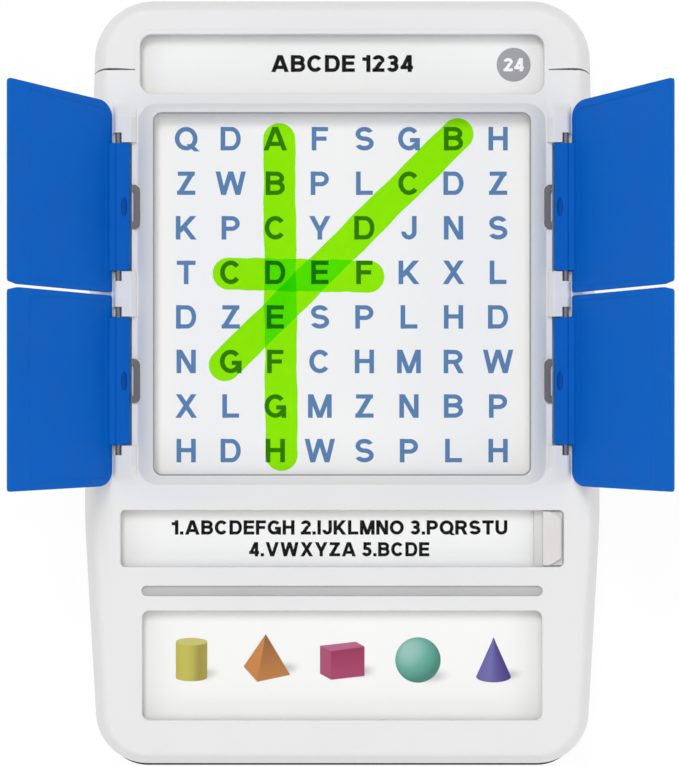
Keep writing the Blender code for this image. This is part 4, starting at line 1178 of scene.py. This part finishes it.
def text_meshes(words, height, x, y, s, length=None, level=CARD_HIGH):
    """Line of lettering centred on a point, its letters widened to a length if one is given."""
    widths = [glyph(letter, s)[0] if letter != " " else WORD_SPACE for letter in words]
    gap = LETTER_GAP
    stretch = LETTER_STRETCH
    if length:
        stretch = (length / height - gap * (len(words) - 1)) / sum(widths)
    widths = [wide * stretch for wide in widths]
    place = -(sum(widths) + gap * (len(words) - 1)) / 2
    meshes = []
    for letter, wide in zip(words, widths):
        if letter != " ":
            copy = glyph(letter, s)[1].copy()
            for vertex in copy.verts:
                across, up, thick = vertex.co
                vertex.co = (x + (across * stretch + place) * height, y + (up - 0.5) * height,
                             level + PRINT_LIFT + thick * PRINT_THICKNESS / GLYPH_THICKNESS)
            meshes.append(copy)
        place += wide + gap
    return meshes


LETTER_GAP = 0.11
LETTER_STRETCH = 1.05
WORD_SPACE = 0.20
GRID_STROKE = 0.19
TEXT_STROKE = 0.225
GRID_HEIGHT = 0.0081
DISC_PLACE = (0.0590, 0.1092)
DISC_RADIUS = 0.00585
DISC_TEXT_HEIGHT = 0.0046
GRID_PITCH = 0.01533
GRID_COUNT = 8
GRID_LETTERS = "BCDFGHJKLMNPQRSTVWXYZ"

# Black lines: words, height, x and y of the middle, length
TEXT_LINES = (
    ("ABCDE 1234", 0.00585, 0.0, 0.1096, 0.0488),
    ("1.ABCDEFGH 2.IJKLMNO 3.PQRSTU", 0.00495, -0.0009, -0.0500, 0.1155),
    ("4.VWXYZA 5.BCDE", 0.00490, -0.0010, -0.0575, 0.0620),
)


def grid_place(column, row):
    middle = (GRID_COUNT - 1) / 2
    return (column - middle) * GRID_PITCH, MIDDLE_Y + (middle - row) * GRID_PITCH


def grid_letter(column, row):
    """Letters without vowels from a fixed rule, and the alphabet in order under the strokes."""
    if column == 2:
        return chr(ord("A") + row)
    if row == 3 and 1 <= column <= 4:
        return chr(ord("B") + column)
    if column + row == 6 and row <= 5:
        return chr(ord("B") + row)
    return GRID_LETTERS[(8 * row + 11 * column + 7 * row * column + 12) % len(GRID_LETTERS)]


def make_lettering():
    letters = []
    for row in range(GRID_COUNT):
        for column in range(GRID_COUNT):
            place = grid_place(column, row)
            letters += text_meshes(grid_letter(column, row), GRID_HEIGHT, *place, GRID_STROKE)
    pieces = [("grid_letters", letters, BLUE_PRINT)]
    lines = []
    for words, height, x, y, length in TEXT_LINES:
        lines += text_meshes(words, height, x, y, TEXT_STROKE, length)
    pieces.append(("black_lettering", lines, BLACK_PRINT))
    x, y = DISC_PLACE
    spot = prism(disc(x, y, DISC_RADIUS, 48), LEVEL_ONE, LEVEL_ONE + PRINT_THICKNESS)
    pieces.append(("number_disc", [spot], GREY_PRINT))
    level = CARD_HIGH + 2 * PRINT_THICKNESS
    number = text_meshes("24", DISC_TEXT_HEIGHT, x, y, TEXT_STROKE, level=level)
    pieces.append(("disc_number", number, WHITE_PRINT))
    for name, meshes, ink in pieces:
        dress(object_of(name, joined(meshes)), ink, "drawer")


# Plain solids printed in the picture window


def rim_of(sheet, around):
    """Points round the edge of a sheet of rows."""
    if around:
        return sheet[-1]
    between = sheet[1:-1]
    return sheet[0] + [row[-1] for row in between] + sheet[-1][::-1] + [row[0] for row in between[::-1]]


def painted_grid(rows, level, around=False):
    """Thin closed sheet over rows of (x, y, colour), closed round on itself if asked."""
    mesh = bmesh.new()
    ink = mesh.verts.layers.float_color.new("ink")
    rims = []
    for height in (level + PRINT_THICKNESS, level):
        sheet = []
        for row in rows:
            line = []
            for x, y, colour in row:
                vertex = mesh.verts.new((x, y, height))
                vertex[ink] = (*colour, 1.0)
                line.append(vertex)
            sheet.append(line)
        for first, second in zip(sheet, sheet[1:]):
            for index in range(len(first) if around else len(first) - 1):
                following = (index + 1) % len(first)
                mesh.faces.new((first[index], first[following], second[following], second[index]))
        if around:
            mesh.faces.new(sheet[0])
        rims.append(rim_of(sheet, around))
    upper, lower = rims
    for index in range(len(upper)):
        following = (index + 1) % len(upper)
        mesh.faces.new((upper[index], upper[following], lower[following], lower[index]))
    bmesh.ops.recalc_face_normals(mesh, faces=mesh.faces)
    return mesh


def mixed(first, second, share):
    return tuple(a + (b - a) * share for a, b in zip(first, second))


def blend(stops, share):
    """Colour at a share of the way along evenly spaced stops."""
    place = min(max(share, 0.0), 1.0) * (len(stops) - 1)
    index = min(int(place), len(stops) - 2)
    return mixed(stops[index], stops[index + 1], place - index)


def quad_rows(corners, colours, steps=6):
    """Rows over a four-cornered face, corners and colours going round it."""
    rows = []
    for upward in range(steps + 1):
        v = upward / steps
        row = []
        for across in range(steps + 1):
            u = across / steps
            low = mixed(corners[0], corners[1], u)
            high = mixed(corners[3], corners[2], u)
            shade = mixed(mixed(colours[0], colours[1], u), mixed(colours[3], colours[2], u), v)
            row.append((*mixed(low, high, v), shade))
        rows.append(row)
    return rows


SHADOW_COLOUR = (0.50, 0.50, 0.51)
SHADOW_RINGS = 8
SHADOW_STEPS = 28
SMALLEST = 0.02
ROUND_STEPS = 24


def shadow_rows(x, y, reach, height, lean):
    """Soft grey patch that fades into the card."""
    rows = []
    for ring in range(SHADOW_RINGS + 1):
        share = max(ring / SHADOW_RINGS, SMALLEST)
        depth = (1 - share) ** 2 * (1 + 2 * share)
        shade = mixed(PAPER_COLOUR, SHADOW_COLOUR, depth)
        row = []
        for across, up in disc(0, 0, share, SHADOW_STEPS):
            row.append((x + reach * across + lean * height * up, y + height * up, shade))
        rows.append(row)
    return rows


def round_rows(x, low, high, half, dip, stops, steps, taper):
    """Rows up the side of a cylinder, or of a cone if the taper is one, above an oval foot."""
    rows = []
    for upward in range(steps + 1):
        share = upward / steps
        narrow = max(1 - taper * share, SMALLEST)
        row = []
        for step in range(ROUND_STEPS + 1):
            u = -cos(pi * step / ROUND_STEPS)
            y = low + (high - low) * share - dip * narrow * sqrt(max(0.0, 1 - u * u))
            row.append((x + half * narrow * u, y, blend(stops, (u + 1) / 2)))
        rows.append(row)
    return rows


def cylinder_sheets():
    stops = ((0.45, 0.39, 0.070), (0.49, 0.44, 0.090), (0.45, 0.40, 0.085), (0.30, 0.25, 0.060),
             (0.35, 0.30, 0.060))
    x, low, high, half, dip = -0.0518, -0.1016, -0.0893, 0.0054, 0.0013
    lid = []
    for share in (0.03, 1.0):
        ring = disc(0, 0, share, 32)
        lid.append([(x + half * across, high + dip * up, (0.51, 0.47, 0.150)) for across, up in ring])
    return [(round_rows(x, low, high, half, dip, stops, 2, 0), LEVEL_TWO), (lid, LEVEL_THREE, True)]


def pyramid_sheets():
    apex, left, front, right = (-0.0263, -0.0867), (-0.0339, -0.0978), (-0.0292, -0.1031), (-0.0179, -0.1007)
    near = (apex[0] + TRACE, apex[1] - TRACE)
    sunny = ((0.50, 0.200, 0.055), (0.50, 0.200, 0.055), (0.51, 0.220, 0.066), (0.51, 0.220, 0.066))
    shady = ((0.44, 0.185, 0.056), (0.44, 0.185, 0.056), (0.260, 0.096, 0.036), (0.260, 0.096, 0.036))
    return [(quad_rows((left, front, near, apex), sunny), LEVEL_TWO),
            (quad_rows((front, right, near, apex), shady), LEVEL_THREE)]


def cuboid_sheets():
    back_left, back_right = (-0.0076, -0.0907), (0.0047, -0.0893)
    near_left, near_right = (-0.0038, -0.0926), (0.0077, -0.0910)
    low_left, low_near, low_right = (-0.0076, -0.1003), (-0.0038, -0.1024), (0.0077, -0.1011)
    top = quad_rows((near_left, near_right, back_right, back_left), ((0.42, 0.118, 0.220),) * 4)
    side = quad_rows((low_left, low_near, near_left, back_left), ((0.35, 0.073, 0.148),) * 4)
    face = quad_rows((low_near, low_right, near_right, near_left),
                     ((0.345, 0.057, 0.132),) * 2 + ((0.280, 0.036, 0.092),) * 2)
    return [(top, LEVEL_TWO), (side, LEVEL_TWO), (face, LEVEL_THREE)]


def sphere_sheets():
    stops = ((0.055, 0.205, 0.160), (0.085, 0.28, 0.215), (0.125, 0.35, 0.280), (0.28, 0.49, 0.440))
    x, y, radius = 0.0261, -0.0956, 0.0078
    light = Vector((-0.42, 0.45, 0.79))
    rows = []
    for upward in range(ROUND_STEPS + 1):
        v = sin(radians(-88 + 176 * upward / ROUND_STEPS))
        row = []
        for across in range(ROUND_STEPS + 1):
            u = sin(radians(-90 + 180 * across / ROUND_STEPS)) * sqrt(1 - v * v)
            facing = Vector((u, v, sqrt(max(0.0, 1 - u * u - v * v)))).dot(light)
            row.append((x + radius * u, y + radius * v, blend(stops, facing)))
        rows.append(row)
    return [(rows, LEVEL_TWO)]


def cone_sheets():
    stops = ((0.125, 0.110, 0.32), (0.145, 0.138, 0.355), (0.090, 0.075, 0.260), (0.054, 0.042, 0.175))
    return [(round_rows(0.0521, -0.1013, -0.0879, 0.0060, 0.0020, stops, 8, 1), LEVEL_TWO)]


def make_picture():
    """Each solid, and the middle, half width, half height and lean of its shadow."""
    solids = {
        "cylinder": (cylinder_sheets(), (-0.0473, -0.1004, 0.0060, 0.0030, 0.4)),
        "pyramid": (pyramid_sheets(), (-0.0192, -0.0985, 0.0055, 0.0030, 0.3)),
        "cuboid": (cuboid_sheets(), (0.0070, -0.0995, 0.0055, 0.0030, 0.3)),
        "sphere": (sphere_sheets(), (0.0311, -0.1012, 0.0072, 0.0032, 0.4)),
        "cone": (cone_sheets(), (0.0571, -0.1007, 0.0060, 0.0028, 0.4)),
    }
    for name, (sheets, shadow) in solids.items():
        meshes = [painted_grid(*sheet) for sheet in sheets + [(shadow_rows(*shadow), LEVEL_ONE, True)]]
        dress(object_of(f"printed_{name}", joined(meshes, True)), PICTURE_PRINT, "drawer")


# Marker strokes on the puzzle pane


STROKE_RADIUS = 0.0055
STROKE_STEPS = 40
STROKE_WAVE = 0.00016
STROKE_RIPPLE = 0.0001


def stroke_mesh(start, end, level, phase):
    """Round-ended stroke from one point to another, a little uneven as drawn by hand."""
    first = Vector(start)
    along = Vector(end) - first
    angle = atan2(along.y, along.x)
    normal = Vector((-sin(angle), cos(angle)))
    points = []
    forth = range(1, STROKE_STEPS)
    for side, centre, order in ((-1, start, forth), (1, end, forth[::-1])):
        turn = angle - side * radians(90)
        points += arc(centre, STROKE_RADIUS, turn, turn + radians(180), 24)
        for step in order:
            share = step / STROKE_STEPS
            wobble = STROKE_WAVE * sin(phase + side + 23 * share)
            wobble += STROKE_RIPPLE * sin(2 * phase + 57 * share)
            wobble *= sin(pi * share) ** 0.3
            points.append(tuple(first + along * share + normal * (side * STROKE_RADIUS + wobble)))
    return prism(points, level, level + PRINT_THICKNESS)


def make_strokes():
    level = CREST - PUZZLE_LIP - SEAT_GAP + PRINT_THICKNESS
    ends = (
        ((-0.0215, 0.0831), (-0.0207, -0.0249)),
        ((-0.0388, 0.0371), (0.0090, 0.0361)),
        ((0.0395, 0.0848), (-0.0401, 0.0058)),
    )
    for index, (start, end) in enumerate(ends):
        mesh = stroke_mesh(start, end, level + 2 * index * PRINT_THICKNESS, 1.7 * index)
        stroke = object_of(f"marker_stroke_{index + 1}", mesh)
        dress(stroke, INK, "case")
        without_shadow(stroke)


# Doors, drawn closed at the upper left: x inwards from the axis, y from the middle line, z from the axis


def hinge_edge_at(height):
    return (DOOR_REST_GAP - HINGE_RISE + height * sin(DOOR_LEAN)) / cos(DOOR_LEAN)


def door_outline(hinge_edge, inset, free_inset):
    left = hinge_edge + inset
    right = DOOR_REACH - free_inset
    low = DOOR_GAP / 2 + inset
    high = DOOR_GAP / 2 + DOOR_HEIGHT - inset
    small = DOOR_SMALL_RADIUS
    big = DOOR_CORNER_RADIUS
    points = arc((left + small, low + small), small, radians(180), radians(270), 6)
    points.append((right - TAPER_LENGTH, low))
    points += arc((right - small, low + TAPER_DEPTH + small), small, radians(-90), 0, 6)
    points += arc((right - small, high - small), small, 0, radians(90), 6)
    top = high + DOOR_HINGE_RISE
    for step in range(DOOR_STEPS + 1):
        angle = radians(90 + 90 * step / DOOR_STEPS)
        x = left + DOOR_CORNER_LENGTH * (1 + cos(angle))
        slant = DOOR_HINGE_RISE * (1 - (x - left) / (right - left))
        points.append((x, min(top, high + slant) - big * (1 - sin(angle))))
    return points


def rounding(depth, radius):
    """How far an edge of a given radius stands back at a depth below its face."""
    if depth >= radius:
        return 0.0
    return radius - sqrt(max(0.0, radius * radius - (radius - depth) ** 2))


def door_panel_mesh():
    low = DOOR_STANDOFF
    high = DOOR_STANDOFF + DOOR_THICKNESS
    loops = []
    for step in range(DOOR_STEPS + 1):
        share = (1 - cos(pi * step / DOOR_STEPS)) / 2
        height = low + (high - low) * share
        under = rounding(height - low, DOOR_UNDER_ROUND)
        inset = max(under, rounding(high - height, DOOR_OVER_ROUND))
        free = max(under, rounding(high - height, DOOR_FREE_ROUND))
        loops.append(at_height(door_outline(hinge_edge_at(height), inset, free), height))
    return loft(loops)


def knuckle_profile():
    """Knuckle and tail seen along the hinge, with the gusset that joins them to the door."""
    out = TAIL_OUT.xz
    side = TAIL_UP.xz
    half = TAIL_THICKNESS / 2
    tip = TAIL_REACH - TAIL_END_ROUND
    embed = DOOR_STANDOFF + DOOR_THICKNESS / 2
    profile = [(GUSSET_REACH, embed), (GUSSET_REACH, DOOR_STANDOFF - TRACE)]
    profile += arc((0, 0), KNUCKLE_RADIUS, radians(15), radians(-8), 5)
    profile.append(tuple(out * KNUCKLE_RADIUS + side * half))
    corner = half - TAIL_END_ROUND
    for sign in (1, -1):
        for step in range(5):
            turn = radians(22.5 * step) if sign > 0 else radians(90 - 22.5 * step)
            reach = tip + TAIL_END_ROUND * sin(turn)
            across = sign * (corner + TAIL_END_ROUND * cos(turn))
            profile.append(tuple(out * reach + side * across))
    profile.append(tuple(out * KNUCKLE_RADIUS - side * half))
    profile += arc((0, 0), KNUCKLE_RADIUS, radians(198), radians(90), 16)
    profile.append((hinge_edge_at(embed), embed))
    return profile


def door_recess_mesh():
    """Shallow panel in the inner side of the door, with soft edges."""
    loops = []
    for slope, depth in ((1.4, -0.4), (0.45, 0.4), (0.15, 0.8), (0.0, 1.0)):
        grow = slope * RECESS_SLOPE
        free = DOOR_REACH - DOOR_BORDER_FREE + grow
        side = DOOR_BORDER_SIDE - min(grow, RECESS_SIDE_GROW)
        outline = rounded_box(DOOR_BORDER_HINGE - grow, free, DOOR_GAP / 2 + side,
                              DOOR_GAP / 2 + DOOR_HEIGHT - side, DOOR_SMALL_RADIUS + grow)
        loops.append(at_height(outline, DOOR_STANDOFF + depth * DOOR_PANEL_DEPTH))
    return loft(loops)


def tail_corner_mesh(end, way):
    """What a rounded corner of the tail leaves out, as seen from above."""
    start = TAIL_REACH - TAIL_CORNER
    beyond = TAIL_REACH + OVERRUN
    points = [(beyond, OVERRUN), (start, OVERRUN)]
    points += arc((start, -TAIL_CORNER), TAIL_CORNER, radians(90), 0, 8)
    points.append((beyond, -TAIL_CORNER))
    loops = []
    for level in (-TAIL_THICKNESS, TAIL_THICKNESS):
        loops.append([TAIL_OUT * x + Vector((0, end + way * y, 0)) + TAIL_UP * level for x, y in points])
    return loft(loops)


def dimple_mesh():
    """Oval hollow in the upper side of the tail, dished like a spoon."""
    centre = TAIL_OUT * TAIL_REACH / 2 + Vector((0, TAIL_CENTRE, 0))
    loops = []
    for grow, level in ((0.35, -1.2 * DIMPLE_DEPTH), (0.65, -DIMPLE_DEPTH), (0.88, -0.55 * DIMPLE_DEPTH),
                        (1.0, 0.0), (1.05, OVERRUN)):
        loop = []
        for x, y in disc(0, 0, 1, 32):
            across = TAIL_OUT * x * grow * DIMPLE_WIDTH / 2 + Vector((0, y * grow * DIMPLE_LENGTH / 2, 0))
            loop.append(centre + across + TAIL_UP * (TAIL_THICKNESS / 2 + level))
        loops.append(loop)
    return loft(loops)


def in_dimple(face):
    """True inside the oval hollow of a tail, with the door open, where a darker blue is painted as shade."""
    across = (abs(face.center.x) - HINGE_X + TAIL_REACH / 2) / (DIMPLE_WIDTH / 2)
    along = (abs(face.center.y - MIDDLE_Y) - TAIL_CENTRE) / (DIMPLE_LENGTH / 2)
    below = face.center.z < HINGE_Z + TAIL_THICKNESS / 2 - DIMPLE_MARGIN
    return hypot(across, along) < 1.0 and below and face.normal.z > DIMPLE_NORMAL


def at_hinge(pattern, x, y, angle=0.0):
    """Copy of a pattern, reflected, turned about its hinge and moved to it."""
    copy = mirrored(pattern, x, y)
    move = Matrix.Translation((-x * HINGE_X, MIDDLE_Y, HINGE_Z)) @ Matrix.Rotation(-x * angle, 4, "Y")
    bmesh.ops.transform(copy, matrix=move, verts=copy.verts)
    return copy


def make_doors():
    first = object_of("door_pattern", door_panel_mesh())
    cut(first, door_recess_mesh())
    knuckle = object_of("knuckle_pattern", along_y(knuckle_profile(), TAIL_START, TAIL_END))
    cut(knuckle, joined([tail_corner_mesh(TAIL_START, -1), tail_corner_mesh(TAIL_END, 1)]))
    soften(knuckle, KNUCKLE_ROUND, 3, 60)
    fuse(first, taken_mesh(knuckle))
    cut(first, along_y(disc(0, 0, PIN_RADIUS + PIN_CLEARANCE, 24), TAIL_START - OVERRUN, TAIL_END + OVERRUN))
    cut(first, dimple_mesh())
    pattern = taken_mesh(first)
    for name, (x, y) in PLACES.items():
        door = object_of(f"flip_door_{name}", at_hinge(pattern, x, y, DOOR_OPEN))
        dress(door, BLUE, f"{name}_door", [f"door_{name}"])
        # Painted shade: faces that look upwards with the door open get the darker blue
        tint_faces(door, DOOR_PAINTED_SHADE, lambda face: face.normal.z > DOOR_NORMAL)
        # Painted shade: the inside of the dimple gets the darkest blue
        tint_faces(door, DIMPLE_PAINTED_SHADE, in_dimple)
    pattern.free()


def make_pins():
    low = PIN_END_GAP
    high = POCKET_END + POCKET_START - PIN_END_GAP
    loops = []
    for y in (low, low + PIN_CHAMFER, high - PIN_CHAMFER, high):
        radius = PIN_RADIUS - PIN_CHAMFER if y in (low, high) else PIN_RADIUS
        loops.append([Vector((x, y, z)) for x, z in disc(0, 0, radius, 28)])
    pattern = loft(loops)
    for name, (x, y) in PLACES.items():
        pin = object_of(f"pin_{name}", at_hinge(pattern, x, y))
        dress(pin, PIN_STEEL, "case", [f"hinge_pin_{name}"])
    pattern.free()


def spring_outline(inset):
    """Flat U, open towards the hinge: x from the axis inwards, y from the middle of the tail."""
    inner = POCKET_INNER + GAP
    outer = POCKET_INNER + SPRING_REACH - inset
    half = SPRING_LENGTH / 2 - inset
    inside_half = SPRING_LENGTH / 2 - SPRING_BAR + inset
    corner = SPRING_CORNER - inset
    small = SPRING_INNER_CORNER
    bend = POCKET_INNER + SPRING_REACH - SPRING_BAR + inset - small
    upper = arc((outer - corner, half - corner), corner, 0, radians(90), 8)
    upper += [(inner, half), (inner, inside_half)]
    upper += arc((bend, inside_half - small), small, radians(90), 0, 4)
    return [(x, -y) for x, y in reversed(upper)] + upper


def make_springs():
    low = GAP - HINGE_RISE
    inner = POCKET_INNER + GAP
    leg_end = inner + SPRING_LEG_THICKNESS
    half = SPRING_BAR / 2 - SPRING_OVER_ROUND
    top = low + SPRING_THICKNESS
    shape = soft_prism(spring_outline, low, top, SPRING_UNDER_ROUND, SPRING_OVER_ROUND)
    spring = object_of("clip_pattern", shape)
    legs = []
    for side in (-1, 1):
        y = side * (SPRING_LENGTH - SPRING_BAR) / 2
        leg = rounded_box(inner + HAIR, leg_end, y - half, y + half, SPRING_UNDER_ROUND, 3)
        legs.append(prism(leg, low - SPRING_LEG_DROP, low + SPRING_THICKNESS / 2))
    fuse(spring, joined(legs))
    pattern = taken_mesh(spring)
    bmesh.ops.translate(pattern, verts=pattern.verts, vec=(0, TAIL_CENTRE, 0))
    for name, (x, y) in PLACES.items():
        clip = object_of(f"clip_{name}", at_hinge(pattern, x, y))
        dress(clip, SPRING_GREY, "case", [f"door_spring_{name}"])
    pattern.free()


# Lock, screws and feet


def make_lock():
    high = CEILING - SEAT_GAP - PANE_THICKNESS - GAP
    waist = (LOCK_LOW + high) / 2
    base = box(LOCK_LEFT - LOCK_TRAVEL - GAP, LOCK_RIGHT + LOCK_LAP, WORDS_BOTTOM - LOCK_LAP,
               WORDS_TOP + LOCK_LAP)
    lock = object_of("lock_slider", prism(base, LOCK_LOW, high))
    plate_low = WORDS_BOTTOM + LOCK_PLATE_GAP
    plate_high = WORDS_TOP - LOCK_PLATE_GAP
    slope = LOCK_RIGHT - LOCK_SLOPE_LENGTH
    plate = [
        (LOCK_LEFT, plate_low),
        (slope, plate_low),
        (LOCK_RIGHT, plate_low + LOCK_SLOPE_WIDTH),
        (LOCK_RIGHT, plate_high - LOCK_SLOPE_WIDTH),
        (slope, plate_high),
        (LOCK_LEFT, plate_high),
    ]
    shelf = FACE - LOCK_SHELF_DEPTH
    fuse(lock, prism(box(slope, LOCK_RIGHT + LOCK_SHELF_REACH, plate_low, plate_high), waist, shelf))
    fuse(lock, prism(plate, waist + TRACE, FACE - LOCK_PLATE_DEPTH))
    left = CARD_HALF + GAP + LOCK_TRAVEL
    right = left + BOLT_LENGTH
    arm = box(LOCK_RIGHT, right, WORDS_MIDDLE - BOLT_HALF, WORDS_MIDDLE + BOLT_HALF)
    fuse(lock, prism(arm, LOCK_LOW + TRACE, high - TRACE))
    bolt = box(left, right - TRACE, WORDS_MIDDLE - BOLT_HALF + TRACE, WORDS_MIDDLE + BOLT_HALF - TRACE)
    fuse(lock, prism(bolt, LOCK_LOW - BOLT_DROP, waist))
    soften(lock, LOCK_ROUND, 2, 50)

    def on_shelf(face):
        return face.center.z < shelf + HAIR and face.normal.z > SHELF_NORMAL and face.center.x > slope

    dress(lock, LOCK_GREY, "lock", ["drawer_lock"])
    # Painted shade: the lock's lower base gets a darker grey than its plate
    tint_faces(lock, LOCK_BASE_PAINTED_SHADE, lambda face: face.center.z < high + HAIR)
    # Painted light: up-facing faces at the lock's right end get a lighter grey than the base
    tint_faces(lock, LOCK_SHELF_PAINTED_LIGHT, on_shelf)


def make_screw(name, x, y, tip, body, node):
    """Pan head screw with a cross recess, point up."""
    head = SCREW_HEAD_RADIUS
    levels = (
        (head * 0.55, 0.0),
        (head * 0.85, HEAD_ROUND * 0.3),
        (head, HEAD_ROUND),
        (head, SCREW_HEAD_HEIGHT),
        (SCREW_RADIUS, SCREW_HEAD_HEIGHT),
        (SCREW_RADIUS, tip - UNDERSIDE - SCREW_RADIUS),
        (SCREW_RADIUS / 2, tip - UNDERSIDE),
    )
    screw = object_of(name, loft([at_height(disc(x, y, radius), UNDERSIDE + z) for radius, z in levels]))
    arm = head * CROSS_ARM
    wide = head * CROSS_WIDTH
    for half_x, half_y in ((arm, wide), (wide, arm)):
        slot = box(x - half_x, x + half_x, y - half_y, y + half_y)
        cut(screw, prism(slot, UNDERSIDE - OVERRUN, UNDERSIDE + CROSS_DEPTH))
    dress(screw, STEEL, body, [node])


def make_screws():
    case_tip = PARTING + SCREW_GRIP - GAP
    cap_tip = TRAY_FLOOR_TOP - EMBED - SEAT_GAP
    for side, (x, y) in SCREW_PLACES.items():
        make_screw(f"case_screw_{side}", x, y, case_tip, "case", f"shell_screw_{side}")
    for side, (x, y) in CAP_SCREW_PLACES.items():
        make_screw(f"drawer_screw_{side}", x, y, cap_tip, "drawer", f"cap_screw_{side}")


def make_feet():
    top = UNDERSIDE + FOOT_SEAT - SEAT_GAP
    for name, (x, y) in FOOT_PLACES.items():
        pad = soft_prism(lambda inset: disc(x, y, FOOT_RADIUS - inset, 40), 0.0, top, FOOT_UNDER_ROUND,
                         FOOT_OVER_ROUND)
        dress(object_of(f"pad_{name}", pad), RUBBER_AND_PAINTED_SHADOW, "case", [f"foot_{name}"])


# Floor and light


FLOOR_HALF = 3.0
FLOOR_GAP = 0.0002
LIGHT_AIM = Vector((0, 0, 0.02))


def make_floor():
    mesh = bmesh.new()
    bmesh.ops.create_grid(mesh, x_segments=1, y_segments=1, size=FLOOR_HALF)
    floor = object_of("floor", mesh)
    floor.location = (0, 0, -FLOOR_GAP)
    floor.data.materials.append(floor_material())


def make_light(name, place, size, power, glossy=True):
    """Square light of a given size that looks at the middle of the game."""
    data = bpy.data.lights.new(name, "AREA")
    data.size = size
    data.energy = power
    light = bpy.data.objects.new(name, data)
    light.location = place
    light.rotation_euler = (LIGHT_AIM - Vector(place)).to_track_quat("-Z", "Y").to_euler()
    light.visible_glossy = glossy
    bpy.context.scene.collection.objects.link(light)


def make_world():
    world = bpy.data.worlds.new("world")
    bpy.context.scene.world = world
    world.use_nodes = True
    tree = world.node_tree
    plain = tree.nodes["Background"]
    set_inputs(plain, {"Color": (1, 1, 1, 1), "Strength": 0.50})
    bright = add_node(tree, "ShaderNodeBackground", {"Color": (1, 1, 1, 1), "Strength": 1.0})
    mix_to_output(tree, seen_at_once(tree), plain.outputs["Background"], bright.outputs["Background"],
                  "World Output")


bpy.context.scene.view_settings.view_transform = "Standard"

make_case_top()
make_case_bottom()
make_painted_shadow_line()
make_cap()
make_panes()
make_tray()
make_cards()
make_lettering()
make_picture()
make_strokes()
make_groove_strip()
make_doors()
make_pins()
make_springs()
make_lock()
make_screws()
make_feet()
make_floor()
make_light("key", (-0.40, 1.35, 2.30), 0.90, 24.0)
make_light("overhead", (0.0, 0.1, 1.30), 0.60, 2.4, False)
make_light("front", (0.1, -1.30, 0.60), 0.80, 3.8)
make_light("left", (-1.30, -0.10, 0.75), 0.80, 3.9)
make_light("right", (1.30, -0.10, 0.75), 0.80, 5.2)
make_world()
